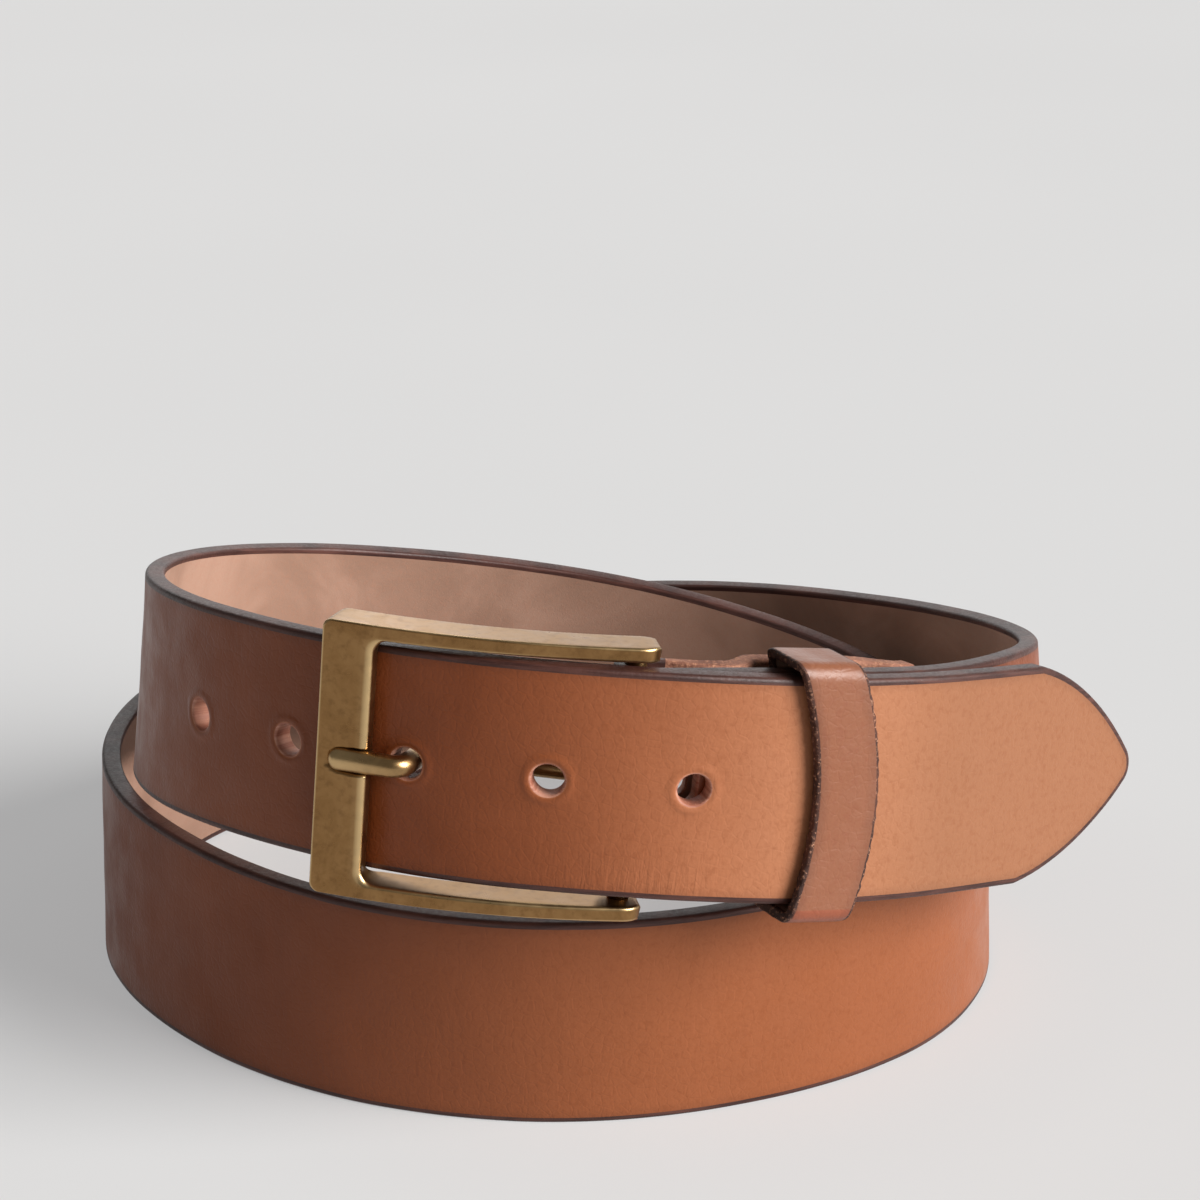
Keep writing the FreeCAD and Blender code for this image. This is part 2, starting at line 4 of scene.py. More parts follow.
import bmesh
import bpy
import numpy as np
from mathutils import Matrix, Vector


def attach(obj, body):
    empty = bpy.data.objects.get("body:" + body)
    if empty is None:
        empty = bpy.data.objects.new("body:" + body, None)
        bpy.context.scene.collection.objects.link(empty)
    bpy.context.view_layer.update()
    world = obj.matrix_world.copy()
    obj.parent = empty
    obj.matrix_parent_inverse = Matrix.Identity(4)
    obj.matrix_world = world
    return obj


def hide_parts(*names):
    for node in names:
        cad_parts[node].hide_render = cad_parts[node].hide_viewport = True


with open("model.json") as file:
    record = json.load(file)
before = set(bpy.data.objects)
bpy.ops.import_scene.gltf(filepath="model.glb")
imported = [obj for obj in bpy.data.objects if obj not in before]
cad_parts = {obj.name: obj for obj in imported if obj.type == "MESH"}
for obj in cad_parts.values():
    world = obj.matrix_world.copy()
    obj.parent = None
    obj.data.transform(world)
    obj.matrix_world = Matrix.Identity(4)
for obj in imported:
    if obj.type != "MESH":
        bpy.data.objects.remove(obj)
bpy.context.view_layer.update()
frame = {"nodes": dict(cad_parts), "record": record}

# A buckled leather belt that stands in a coil on its long edge. Lengths are in millimetres, and a mesh
# is scaled to metres when it is made. A place is a length along the strap, measured from the tip.
MM = 0.001
WIDTH = 40.0
THICKNESS = 3.6
SKIVED = 2.0
LAYER_GAP = 0.4
PIVOT_FROM_TIP = 115.0
STACK_LENGTH = 60.0
PIVOT_DROP = 1.2
SKIVE_LENGTH = 18.0
FLAP_LENGTH = 57.5
STITCH_PLACES = (14.5, 54.0)
SWELL_START = 1.5
DROP_SPAN = (-10.0, 38.0)
HOLE_PLACES = 105.0 + 24.0 * np.arange(5)
HOLE_RADIUS = 2.75
SLOT_REACH = 11.0
SLOT_HALF_HEIGHT = 3.5

KEEPER_PLACE = 34.5
KEEPER_WIDTH = 12.5
KEEPER_THICKNESS = 2.0
KEEPER_BOW = 4.5
KEEPER_SKEW = 2.8
KEEPER_FRONT_GAP = 0.5
KEEPER_BACK_GAP = 1.0
KEEPER_EDGE_GAP = 1.1
KEEPER_CORNER = 2.8
KEEPER_POCKET = 10.1
STAPLE_RADIUS = 0.35

BAR_RADIUS = 1.8
BAR_CLEARANCE = 0.1
OPENING_HALF = 21.6
FRAME_HALF = 24.2
FRONT_AT_PIVOT = 5.5
FRAME_REACH = 51.8
FRAME_FALL = -7.9
FRAME_ARCH = 3.0
ARM_DEPTH = 7.6
END_BAR_WIDTH = 9.0
END_BAR_THICKNESS = 3.6
PRONG_RADIUS = 1.9
PRONG_BEND_RADIUS = 2.4
PRONG_INNER_GAP = 1.6
PRONG_OUTER_GAP = 0.5
PRONG_TIP_REACH = 5.0
PRONG_TIP_SINK = 0.7
EYE_HALF_HEIGHT = 2.2
EYE_WALL = 1.3
EYE_CLEARANCE = 0.08

# The strap's middle line: x, y, height, and the lean in degrees, from the tip round the coil twice.
STATIONS = np.array([
    (96.0, -28.5, 50.5, -6.0), (69.0, -55.0, 58.5, -2.0), (40.0, -78.5, 66.0, -1.5),
    (4.0, -90.0, 72.0, -2.0), (-33.5, -83.5, 73.5, -3.0), (-64.5, -61.0, 71.5, -4.0),
    (-83.0, -28.5, 66.0, -5.5), (-84.5, 9.0, 58.5, -7.0), (-67.0, 41.5, 50.0, -8.5),
    (-35.5, 61.5, 42.0, -8.5), (1.5, 66.5, 35.0, -7.0), (37.5, 56.0, 28.5, -5.0),
    (64.5, 29.5, 23.5, -3.5), (73.0, -7.0, 20.5, -2.5), (59.0, -42.0, 20.0, 0.0),
    (28.5, -65.0, 20.0, 2.5), (-9.0, -73.5, 20.0, 3.0), (-46.0, -64.5, 20.0, 0.5),
    (-76.0, -41.0, 20.0, -2.0), (-95.0, -8.0, 20.0, -2.0), (-95.5, 30.0, 20.0, 0.0),
    (-77.0, 63.0, 20.5, 1.0), (-45.0, 83.5, 22.0, 0.5), (-7.0, 89.0, 24.5, -1.0),
    (29.5, 79.0, 28.5, -3.0), (59.5, 56.0, 33.5, -5.5), (78.0, 23.5, 40.5, -7.0),
    (81.5, -13.5, 49.0, -6.5), (71.0, -43.0, 56.5, -4.0),
])
STATIONS[:, :3] += (0.65, 0.74, -0.2)

# Tip outline: the directions of its edge where the nose, the long side and the shoulder meet, in degrees.
NOSE_TURN = 42.0
SHOULDER_TURN = 78.0
SHOULDER_RADIUS = 2.5
TIP_LENGTH = 31.0


# --- small helpers on arrays ---

def unit(vectors):
    """Each row divided by its length."""
    return vectors / np.linalg.norm(vectors, axis=-1, keepdims=True)


def beside(*parts):
    """Numbers and arrays stretched to one shape and set side by side on a new last axis."""
    return np.stack(np.broadcast_arrays(*parts), axis=-1)


def soft_box(turn, half_wide, half_deep, wide_power, deep_power):
    """A box with soft corners: each half size times the cosine or sine of the turn, raised to a power
    below one with its sign kept."""
    wide, deep = np.cos(turn), np.sin(turn)
    return (half_wide * np.sign(wide) * np.abs(wide) ** wide_power,
            half_deep * np.sign(deep) * np.abs(deep) ** deep_power)


def blend(value, start, end):
    """0 below start, 1 above end, and the S-curve 3t^2 - 2t^3 between."""
    share = np.clip((value - start) / (end - start), 0.0, 1.0)
    return share * share * (3 - 2 * share)


def ripple(u, v, seed, octaves=3, scale=1.0):
    """Smooth waves in two directions, within about 1: a sum of sines of rising frequency, with seeded
    directions and phases."""
    random = np.random.default_rng(seed)
    total = np.zeros(np.broadcast(u, v).shape)
    for octave in range(octaves):
        for _ in range(3):
            angle, phase = random.uniform(0, 2 * math.pi, 2)
            pull = scale * 2.0 ** octave
            wave = np.sin(pull * (u * math.cos(angle) + v * math.sin(angle)) + phase)
            total += wave / (3 * 1.6 ** octave)
    return total


def spline(points, knots, at):
    """A smooth cubic through points at the knots, and its slope. The end slopes are those of the one cubic
    through the four nearest points; the others make the curvature continuous."""
    step = np.diff(knots)[:, None]
    rise = np.diff(points, axis=0) / step
    inner = np.arange(1, len(knots) - 1)
    system = np.eye(len(knots))
    system[inner, inner - 1] = 1 / step[:-1, 0]
    system[inner, inner] = 2 / step[:-1, 0] + 2 / step[1:, 0]
    system[inner, inner + 1] = 1 / step[1:, 0]
    right = np.zeros_like(points)
    right[inner] = 3 * (rise[:-1] / step[:-1] + rise[1:] / step[1:])
    right[0] = np.linalg.solve(np.vander(knots[:4] - knots[0], 4, increasing=True), points[:4])[1]
    right[-1] = np.linalg.solve(np.vander(knots[-4:] - knots[-1], 4, increasing=True), points[-4:])[1]
    slopes = np.linalg.solve(system, right)
    left = np.clip(np.searchsorted(knots, at) - 1, 0, len(knots) - 2)
    width = step[left]
    t = ((at - knots[left])[:, None]) / width
    start, end = points[left], points[left + 1]
    pull, push = slopes[left] * width, slopes[left + 1] * width
    value = (start * (1 + 2 * t) * (1 - t) ** 2 + end * t * t * (3 - 2 * t)
             + pull * t * (1 - t) ** 2 - push * t * t * (1 - t))
    slope = ((end - start) * 6 * t * (1 - t) + pull * (1 - t) * (1 - 3 * t) + push * t * (3 * t - 2)) / width
    return value, slope


class Path:
    """The strap's middle line through stations, with its point, direction, up and outward at any place."""

    def __init__(self, stations):
        self.stations = np.array(stations, float)
        gaps = np.linalg.norm(np.diff(self.stations[:, :3], axis=0), axis=1)
        self.knots = np.concatenate([[0.0], np.cumsum(gaps)])
        self.fine = np.linspace(0.0, self.knots[-1], 6000)
        points = spline(self.stations, self.knots, self.fine)[0][:, :3]
        steps = np.linalg.norm(np.diff(points, axis=0), axis=1)
        self.walked = np.concatenate([[0.0], np.cumsum(steps)])
        self.length = self.walked[-1]

    def frame(self, place):
        """Out is level and square to the direction, tipped by the lean; up is square to both."""
        at = np.interp(np.atleast_1d(place), self.walked, self.fine)
        value, slope = spline(self.stations, self.knots, at)
        ahead = unit(slope[:, :3])
        level = unit(np.stack([-ahead[:, 1], ahead[:, 0], np.zeros(len(at))], axis=1))
        upright = np.cross(ahead, level)
        lean = np.radians(value[:, 3:4])
        up = upright * np.cos(lean) + level * np.sin(lean)
        out = level * np.cos(lean) - upright * np.sin(lean)
        return value[:, :3], ahead, up, out, value[:, 3]

    def at(self, place):
        """The same at one place, as single vectors."""
        return [part[0] for part in self.frame(place)]


def end_thickness(back):
    """The strap's thickness at a distance back from the pivot bar: it is pared thin towards the bar."""
    return SKIVED + (THICKNESS - SKIVED) * blend(back, 3.0, SKIVE_LENGTH)


def stack_drop(back):
    """How much lower than the tip end the buckle end hangs."""
    return PIVOT_DROP * (1 - blend(back, *DROP_SPAN))


def flap_depth(back):
    """How far the flap's middle lies behind the tip end's middle: it swells over the keeper's back."""
    touching = THICKNESS * 2 + LAYER_GAP * 2
    keeper = touching + KEEPER_BACK_GAP + KEEPER_THICKNESS + 2 * STAPLE_RADIUS
    fold = THICKNESS / 2 + LAYER_GAP + SKIVED * 1.5 + 2 * (BAR_RADIUS + BAR_CLEARANCE)
    depth = fold + (touching - fold) * blend(back, 2.0, 14.0)
    swell_end = KEEPER_PLACE - KEEPER_POCKET - KEEPER_SKEW / 2
    rise = blend(back, STITCH_PLACES[0] + SWELL_START, swell_end)
    fall = blend(back, KEEPER_PLACE + KEEPER_POCKET, STITCH_PLACES[1] + 1)
    return depth + (keeper - touching) * (rise - fall)


def layer_depth(back):
    """How far the buckle end's middle lies behind the tip end's middle."""
    return THICKNESS / 2 + LAYER_GAP + end_thickness(back) / 2


def behind_tip_end(back, depth):
    """Points behind the tip end's middle by a depth, at distances back from the bar, and the directions
    and lean there."""
    point, ahead, up, out, lean = TIP_END.frame(PIVOT_FROM_TIP - back)
    return point - out * depth[:, None] - up * stack_drop(back)[:, None], ahead, up, out, lean


def whole_path():
    """The middle line from the tip to the pivot bar: the stations, then behind the tip end."""
    back = np.linspace(STACK_LENGTH, 0.0, 5)
    points, _, _, _, lean = behind_tip_end(back, layer_depth(back))
    return Path(np.vstack([STATIONS, np.column_stack([points, lean])]))


TIP_END = Path(STATIONS)
STRAP = whole_path()
FOLD_RADIUS = BAR_RADIUS + BAR_CLEARANCE + SKIVED / 2
FOLD_LENGTH = math.pi * FOLD_RADIUS
FLAP_START = STRAP.length + FOLD_LENGTH
STRAP_END = FLAP_START + FLAP_LENGTH
_, PIVOT_ALONG, PIVOT_UP, PIVOT_OUT, _ = STRAP.at(STRAP.length)
PIVOT = np.array(frame["record"]["behaviour"]["joints"][0]["pos_m"]) / MM


def on_strap(place, height, depth):
    """A flat point of the strap bent into the coil. Depth runs from -1 at the flesh side to 1 at the grain
    side. The point is the middle line plus height times up plus depth times half the thickness times out;
    past the bar it goes round a half circle, and then along the flap."""
    point, _, up, out, _ = STRAP.frame(np.minimum(place, STRAP.length))
    thick = end_thickness(STRAP.length - place)
    angle = np.clip((place - STRAP.length) / FOLD_RADIUS, 0.0, math.pi)[:, None]
    ray = PIVOT_OUT * np.cos(angle) + PIVOT_ALONG * np.sin(angle)
    folded = place > STRAP.length
    point = np.where(folded[:, None], PIVOT + ray * FOLD_RADIUS, point)
    out = np.where(folded[:, None], ray, out)
    flap = place > FLAP_START
    back = np.clip(place - FLAP_START, 0.0, None)
    middle, flap_up = flap_line(back)
    ahead = unit(flap_line(back + 0.3)[0] - flap_line(back - 0.3)[0])
    point = np.where(flap[:, None], middle, point)
    up = np.where(flap[:, None], flap_up, np.where(folded[:, None], PIVOT_UP, up))
    out = np.where(flap[:, None], unit(np.cross(flap_up, ahead)), out)
    thick = np.where(folded, end_thickness(back), thick)
    return point + up * height[:, None] + out * (depth * thick / 2)[:, None]


def flap_line(back):
    """Middle point and up direction of the flap, at a distance back from the pivot bar."""
    point, _, up, _, _ = behind_tip_end(back, flap_depth(back))
    return point, up


# --- meshes ---

class Sheets:
    """Quad grids collected into one mesh. Points that coincide are welded, and slivers are dropped."""

    def __init__(self):
        self.points, self.values, self.faces, self.slots, self.count = [], [], [], [], 0

    def add(self, grid, values, slot=0, keep=None, close=False):
        """Adds a grid of points, rows by columns by 3, with values per point; close joins the last row to
        the first, and keep masks the cells."""
        rows, columns = grid.shape[:2]
        index = np.arange(rows * columns).reshape(rows, columns) + self.count
        if close:
            index = np.vstack([index, index[:1]])
        cells = np.stack([index[:-1, :-1], index[1:, :-1], index[1:, 1:], index[:-1, 1:]], axis=-1)
        cells = cells[keep] if keep is not None else cells.reshape(-1, 4)
        self.points.append(grid.reshape(-1, 3))
        self.values.append(values.reshape(rows * columns, -1))
        self.faces.append(cells)
        self.slots.append(np.full(len(cells), slot))
        self.count += rows * columns

    def welded(self):
        """Points rounded to a thousandth and merged, with faces as lists of their distinct corners."""
        points = np.concatenate(self.points)
        _, first, same = np.unique(np.round(points, 3), axis=0, return_index=True, return_inverse=True)
        faces = same.reshape(-1)[np.concatenate(self.faces)]
        slots = np.concatenate(self.slots)
        distinct = faces != np.roll(faces, 1, axis=1)
        good = distinct.sum(axis=1) > 2
        rings = [face[mask].tolist() for face, mask in zip(faces[good], distinct[good])]
        return points[first], np.concatenate(self.values)[first], rings, slots[good]


def make_object(name, points, faces, body, materials, slots=None, pattern=None, **marks):
    """A smooth-shaded mesh in metres that rides on a body. pattern is a UV per point in millimetres, and
    each mark is a named value per point that the materials read."""
    mesh = bpy.data.meshes.new(name)
    mesh.from_pydata((points * MM).tolist(), [], faces)
    for material in materials:
        mesh.materials.append(material)
    if slots is not None:
        mesh.polygons.foreach_set("material_index", slots.astype(np.int32))
    corner_points = np.empty(len(mesh.loops), np.int32)
    mesh.loops.foreach_get("vertex_index", corner_points)
    if pattern is not None:
        uv = mesh.uv_layers.new(name="pattern")
        uv.uv.foreach_set("vector", (pattern[corner_points] * MM).astype(np.float32).ravel())
    for mark, value in marks.items():
        attribute = mesh.attributes.new(mark, "FLOAT", "POINT")
        attribute.data.foreach_set("value", value.astype(np.float32))
    mesh.polygons.foreach_set("use_smooth", np.ones(len(mesh.polygons), bool))
    work = bmesh.new()
    work.from_mesh(mesh)
    bmesh.ops.recalc_face_normals(work, faces=work.faces)
    work.to_mesh(mesh)
    work.free()
    piece = bpy.data.objects.new(name, mesh)
    bpy.context.scene.collection.objects.link(piece)
    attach(piece, body)
    return piece


def tube(line, ups, across, high, turns=20):
    """A closed tube along a line. Each ring is an ellipse with half axes `across` and `high` per point; the
    ends close to a point when those reach zero."""
    ahead = unit(np.gradient(line, axis=0))
    side = unit(np.cross(ahead, ups))
    angle = np.linspace(0, 2 * math.pi, turns, endpoint=False)
    ring = (side[:, None] * (across[:, None] * np.cos(angle))[..., None]
            + ups[:, None] * (high[:, None] * np.sin(angle))[..., None])
    return (line[:, None] + ring).transpose(1, 0, 2)


def round_ended(line, radius, steps=7):
    """A line with extra points at both ends, and the share of the radius there, so that a tube along it
    ends in half balls."""
    turn = np.linspace(0, math.pi / 2, steps)
    first = unit(line[0] - line[1])
    last = unit(line[-1] - line[-2])
    start = line[0] + first * (radius * np.cos(turn))[:, None]
    end = line[-1] + last * (radius * np.sin(turn))[:, None]
    share = np.concatenate([np.sin(turn), np.ones(max(len(line) - 2, 0)), np.cos(turn)])
    return np.vstack([start, line[1:-1], end]), share


# --- materials ---

class Nodes:
    """Short ways to build a material's nodes."""

    def __init__(self, name):
        self.material = bpy.data.materials.new(name)
        self.material.use_nodes = True
        self.tree = self.material.node_tree
        self.shader = self.tree.nodes["Principled BSDF"]
        self.object = self.node("ShaderNodeTexCoord").outputs["Object"]

    def node(self, kind, **settings):
        """A new node of a kind, with its settings."""
        made = self.tree.nodes.new(kind)
        for key, value in settings.items():
            setattr(made, key, value)
        return made

    def put(self, socket, value):
        """Links an output or sets a plain value."""
        if isinstance(value, bpy.types.NodeSocket):
            self.tree.links.new(value, socket)
        else:
            socket.default_value = value

    def pattern(self, stretch=(1, 1, 1)):
        """The piece's own UV map, stretched."""
        source = self.node("ShaderNodeUVMap", uv_map="pattern").outputs["UV"]
        return self.scaled(source, stretch)

    def scaled(self, vector, stretch):
        """A vector stretched along each axis."""
        mapping = self.node("ShaderNodeMapping")
        self.put(mapping.inputs["Vector"], vector)
        mapping.inputs["Scale"].default_value = stretch
        return mapping.outputs["Vector"]

    def noise(self, scale, detail=3.0, rough=0.55, vector=None, warp=0.0):
        """Cloudy noise on a vector, or on the object's own coordinates."""
        made = self.node("ShaderNodeTexNoise")
        self.put(made.inputs["Vector"], vector if vector is not None else self.object)
        made.inputs["Scale"].default_value = scale
        made.inputs["Detail"].default_value = detail
        made.inputs["Roughness"].default_value = rough
        made.inputs["Distortion"].default_value = warp
        return made.outputs["Fac"]

    def cells(self, scale, feature="F1"):
        """A pattern of cells: the distance to the nearest cell's middle, or to its border."""
        made = self.node("ShaderNodeTexVoronoi", feature=feature)
        self.put(made.inputs["Vector"], self.object)
        made.inputs["Scale"].default_value = scale
        return made.outputs["Distance"]

    def attribute(self, name):
        """A mark that make_object stored on the points."""
        return self.node("ShaderNodeAttribute", attribute_name=name).outputs["Fac"]

    def ramp(self, value, low, high, start=0.0, end=1.0):
        """Value mapped from low..high to start..end, held at the ends."""
        made = self.node("ShaderNodeMapRange", interpolation_type="SMOOTHSTEP")
        self.put(made.inputs["Value"], value)
        for key, number in zip(("From Min", "From Max", "To Min", "To Max"), (low, high, start, end)):
            made.inputs[key].default_value = number
        return made.outputs["Result"]

    def math(self, operation, a, b):
        """One sum on two values."""
        made = self.node("ShaderNodeMath", operation=operation)
        self.put(made.inputs[0], a)
        self.put(made.inputs[1], b)
        return made.outputs[0]

    def between(self, value, rise, fall, top=1.0):
        """0, then top from the end of rise to the start of fall, then 0 again."""
        return self.math("MULTIPLY", self.ramp(value, *rise, 0.0, top), self.ramp(value, *fall, 1.0, 0.0))

    def mix(self, share, a, b):
        """A blended towards b by a share."""
        made = self.node("ShaderNodeMix", data_type="RGBA")
        self.put(made.inputs["Factor"], share)
        self.put(made.inputs["A"], a)
        self.put(made.inputs["B"], b)
        return made.outputs["Result"]

    def layers(self, tone, tints):
        """A tone with tints laid over it in turn, each by its own share."""
        for share, tint in tints:
            tone = self.mix(share, tone, tint)
        return tone

    def bump(self, height, strength, distance, below=None):
        """A normal tilted by a height pattern, over the normal below it."""
        made = self.node("ShaderNodeBump")
        self.put(made.inputs["Height"], height)
        made.inputs["Strength"].default_value = strength
        made.inputs["Distance"].default_value = distance
        if below is not None:
            self.put(made.inputs["Normal"], below)
        return made.outputs["Normal"]

    def finish(self, color, rough, normal, **fixed):
        """Links the shader and sets its constant sockets."""
        self.put(self.shader.inputs["Base Color"], color)
        self.put(self.shader.inputs["Roughness"], rough)
        self.put(self.shader.inputs["Normal"], normal)
        for key, value in fixed.items():
            self.shader.inputs[key.replace("_", " ")].default_value = value
        return self.material


def color(red, green, blue):
    """A display colour from 0 to 255 as linear light, with full alpha."""
    share = np.array([red, green, blue]) / 255.0
    linear = np.where(share > 0.04045, ((share + 0.055) / 1.055) ** 2.4, share / 12.92)
    return (*linear.tolist(), 1.0)


def grain_leather(name, deep, middle, light, rim, pale, shine=0.24, relief=1.0):
    """Waxed full-grain leather: clouded tone, faint streaks across the strap, fine pores and wrinkles in the
    bump, and a burnished dark line that bleeds in from each cut edge. Punched holes have a pale raised lip.
    The run past the buckle is darker, partly its own tone and partly painted shade, and short creases stand
    on its lower edge there."""
    n = Nodes(name)
    spread = n.node("ShaderNodeSeparateXYZ")
    n.put(spread.inputs[0], n.pattern())
    place, height = spread.outputs["X"], spread.outputs["Y"]
    cloud = n.noise(14.0, 4.0, 0.6, n.pattern(), 0.6)
    streak = n.noise(1.0, 4.0, 0.6, n.pattern((170, 22, 1)), 0.4)
    fleck = n.noise(900.0, 2.0, 0.6)
    scuff = n.noise(1.0, 2.0, 0.5, n.pattern((90, 1400, 1)), 1.5)
    wear = n.math("ADD", n.attribute("edge"), n.ramp(n.noise(420.0, 3.0), 0.2, 0.8, -0.35, 0.35))
    tone = n.layers(n.mix(n.ramp(cloud, 0.3, 0.7), deep, light), (
        (n.ramp(streak, 0.35, 0.75, 0.0, 0.45), middle),
        (n.ramp(place, 0.065, 0.150, 1.0, 0.0), pale),                     # the tip end is the palest: partly own tone, partly painted sheen where the light falls
        (n.ramp(place, 0.050, 0.088, 0.60, 0.0), color(124, 82, 56)),      # and greyer at the tip itself
        (n.ramp(place, 0.080, 0.150, 0.0, 0.62), deep),                    # darker past the buckle: partly own tone, partly painted shade on the side turned from the light
        (n.between(place, (0.40, 0.48), (0.58, 0.68), 0.5), color(150, 91, 58)),    # the lower turn's front
        (n.ramp(fleck, 0.45, 0.75, 0.0, 0.22), deep),
        (n.ramp(scuff, 0.74, 0.80, 0.0, 0.35), light),
        (n.ramp(n.attribute("punch"), 0.1, 0.7, 0.6, 0.0), color(190, 122, 84)),   # a hole's lip
        (n.ramp(wear, 0.1, 0.8, 1.0, 0.0), rim),                           # the dark line at a cut edge
        (n.ramp(wear, 0.5, 3.2, 0.20, 0.0), rim),                          # and its faint bleed
    ))
    folds = n.noise(1.0, 2.0, 0.5, n.pattern((1100, 130, 1)), 0.8)
    low = n.ramp(height, -0.0175, -0.008, 1.0, 0.0)
    creased = n.math("MULTIPLY", low, n.between(place, (0.096, 0.106), (0.118, 0.134)))
    normal = n.bump(n.cells(1500.0), 0.22 * relief, 0.00012)
    wrinkled = n.ramp(n.cells(520.0, "DISTANCE_TO_EDGE"), 0.0, 0.12)
    normal = n.bump(wrinkled, 0.18 * relief, 0.0001, normal)
    normal = n.bump(n.noise(1.0, 3.0, 0.6, n.pattern((420, 60, 1)), 0.7), 0.10 * relief, 0.0006, normal)
    normal = n.bump(n.math("MULTIPLY", folds, creased), 0.35, 0.0005, normal)
    normal = n.bump(n.noise(60.0, 3.0, 0.5), 0.18, 0.0012, normal)
    rough = n.ramp(n.noise(120.0, 4.0, 0.6), 0.3, 0.7, 0.34, 0.48)
    return n.finish(tone, rough, normal, Specular_IOR_Level=shine)


def edge_leather(name, dark, pale, fuzz=0.0):
    """A cut edge: layered streaks along it, burnished dark, with pale fibres where it is left raw."""
    n = Nodes(name)
    streak = n.noise(1.0, 4.0, 0.7, n.pattern((60, 900, 1)), 0.3)
    fibre = n.noise(1500.0, 4.0, 0.75)
    tone = n.mix(n.ramp(streak, 0.35, 0.7), dark, pale)
    if fuzz:
        tone = n.mix(n.ramp(fibre, 0.62 - 0.18 * fuzz, 0.74, 0.0, 0.85), tone, color(200, 146, 116))
    normal = n.bump(fibre, 0.25 + 0.5 * fuzz, 0.0003)
    return n.finish(tone, n.ramp(fibre, 0.3, 0.7, 0.38 + 0.3 * fuzz, 0.55 + 0.35 * fuzz), normal,
                    Specular_IOR_Level=0.35)


def flesh_leather(name):
    """The strap's inner side: pinkish tan, matt and fibrous, darker towards its burnished edges."""
    n = Nodes(name)
    cloud = n.noise(30.0, 4.0, 0.6, n.pattern(), 0.8)
    fibre = n.noise(1300.0, 5.0, 0.75, warp=0.8)
    wear = n.math("ADD", n.attribute("edge"), n.ramp(fibre, 0.2, 0.8, -0.4, 0.4))
    tone = n.layers(n.mix(n.ramp(cloud, 0.3, 0.7), color(136, 105, 88), color(160, 126, 108)), (
        (n.ramp(fibre, 0.4, 0.75, 0.0, 0.35), color(160, 112, 90)),
        (n.ramp(wear, 0.1, 1.2, 1.0, 0.0), color(66, 36, 30)),
    ))
    normal = n.bump(fibre, 0.35, 0.0002)
    return n.finish(tone, n.ramp(fibre, 0.3, 0.7, 0.72, 0.9), normal, Specular_IOR_Level=0.3)


def antique_brass(name):
    """Cast brass with a brown patina, fine scratches and slight pits; its edges are lighter, partly rubbed
    bright and partly a painted highlight.
    """
    n = Nodes(name)
    cloud = n.noise(160.0, 5.0, 0.65, warp=0.5)
    scratch = n.noise(1.0, 3.0, 0.7, n.scaled(n.object, (500, 500, 5200)), 0.2)
    tone = n.layers(n.mix(n.ramp(cloud, 0.3, 0.7), color(132, 98, 60), color(154, 118, 76)), (
        (n.ramp(n.noise(700.0, 3.0, 0.6), 0.45, 0.75, 0.0, 0.35), color(92, 62, 36)),
        # the edge mark: rubbed bright edges with a painted highlight along the bevel and corners
        (n.math("MULTIPLY", n.attribute("edge"), 0.65), color(232, 202, 150)),
    ))
    rough = n.ramp(cloud, 0.3, 0.7, 0.26, 0.40)
    normal = n.bump(scratch, 0.07, 0.0001)
    normal = n.bump(n.noise(230.0, 3.0, 0.5), 0.10, 0.0003, normal)
    return n.finish(tone, rough, normal, Metallic=1.0)


def waxed_thread(name):
    """Twisted linen thread: a diagonal wave in the bump, with painted shade darkening its hollows."""
    n = Nodes(name)
    twist = n.noise(2600.0, 2.0, 0.5)
    tone = n.mix(n.ramp(twist, 0.35, 0.65), color(92, 60, 40), color(150, 110, 78))
    return n.finish(tone, n.ramp(twist, 0.3, 0.7, 0.5, 0.7), n.bump(twist, 0.4, 0.0002))


def bright_wire(name):
    """Plated steel wire, slightly dulled."""
    n = Nodes(name)
    dull = n.noise(600.0, 3.0)
    tone = n.mix(n.ramp(dull, 0.3, 0.7), color(150, 150, 152), color(196, 196, 198))
    return n.finish(tone, n.ramp(dull, 0.3, 0.7, 0.25, 0.4), n.bump(dull, 0.08, 0.0001), Metallic=1.0)


GRAIN = grain_leather(
    "tan_grain", color(113, 54, 21), color(142, 76, 42), color(152, 84, 49), color(46, 22, 16),
    color(166, 110, 78))
EDGE = edge_leather("burnished_edge", color(50, 25, 20), color(84, 50, 42))
FLESH = flesh_leather("flesh_side")
RAW_EDGE = edge_leather("raw_edge", color(110, 66, 50), color(170, 118, 96), 1.0)
PUNCHED = edge_leather("punched_wall", color(150, 92, 72), color(188, 136, 114), 0.3)
KEEPER_GRAIN = grain_leather(
    "keeper_grain", color(116, 52, 30), color(132, 67, 43), color(142, 77, 51), color(40, 18, 12),
    color(138, 74, 48), 0.5, 1.0)
KEEPER_EDGE = edge_leather("keeper_edge", color(44, 22, 16), color(84, 46, 32), 0.55)
BRASS = antique_brass("antique_brass")
THREAD = waxed_thread("waxed_thread")
WIRE = bright_wire("staple_wire")


# --- the strap ---

RIM_INSET = 1.2             # the flat faces stop this far inside the cut edge, and the rounded rim begins
RIM_FRONT = 0.8             # the rim's corner radius on the grain side
RIM_BACK = 0.6
ROWS = 40                   # cells across the strap
CELL = 2 * (WIDTH / 2 - RIM_INSET) / ROWS
COLUMN_STEP = 2.0
FLAP_STEP = 0.8
PATCH_CELLS = 6             # a hole's square patch reaches this many cells each way
SLOT_MARGIN = 4.0           # the slot's patch reaches this far past its ends
SLOT_CORNER = 2.0
MOUTH_ROUND = 0.35
MOUTH_DEPTH = 0.2           # how deep that rounding goes, as a share of half the thickness
LIP_HEIGHT = 0.10           # the raised lip's height, as the same share
LIP_PLACE = 1.1
LIP_SPREAD = 0.6
TIP_BLEED = 12.0            # up to this far past the shoulder, a point's gap to the tip's edge is measured
RAW_FROM = 4.0              # the flap's edge is left raw from this far past the fold
RAW_DEPTH = 0.9             # and its frayed band is this wide
RAW_FRAY = 0.15
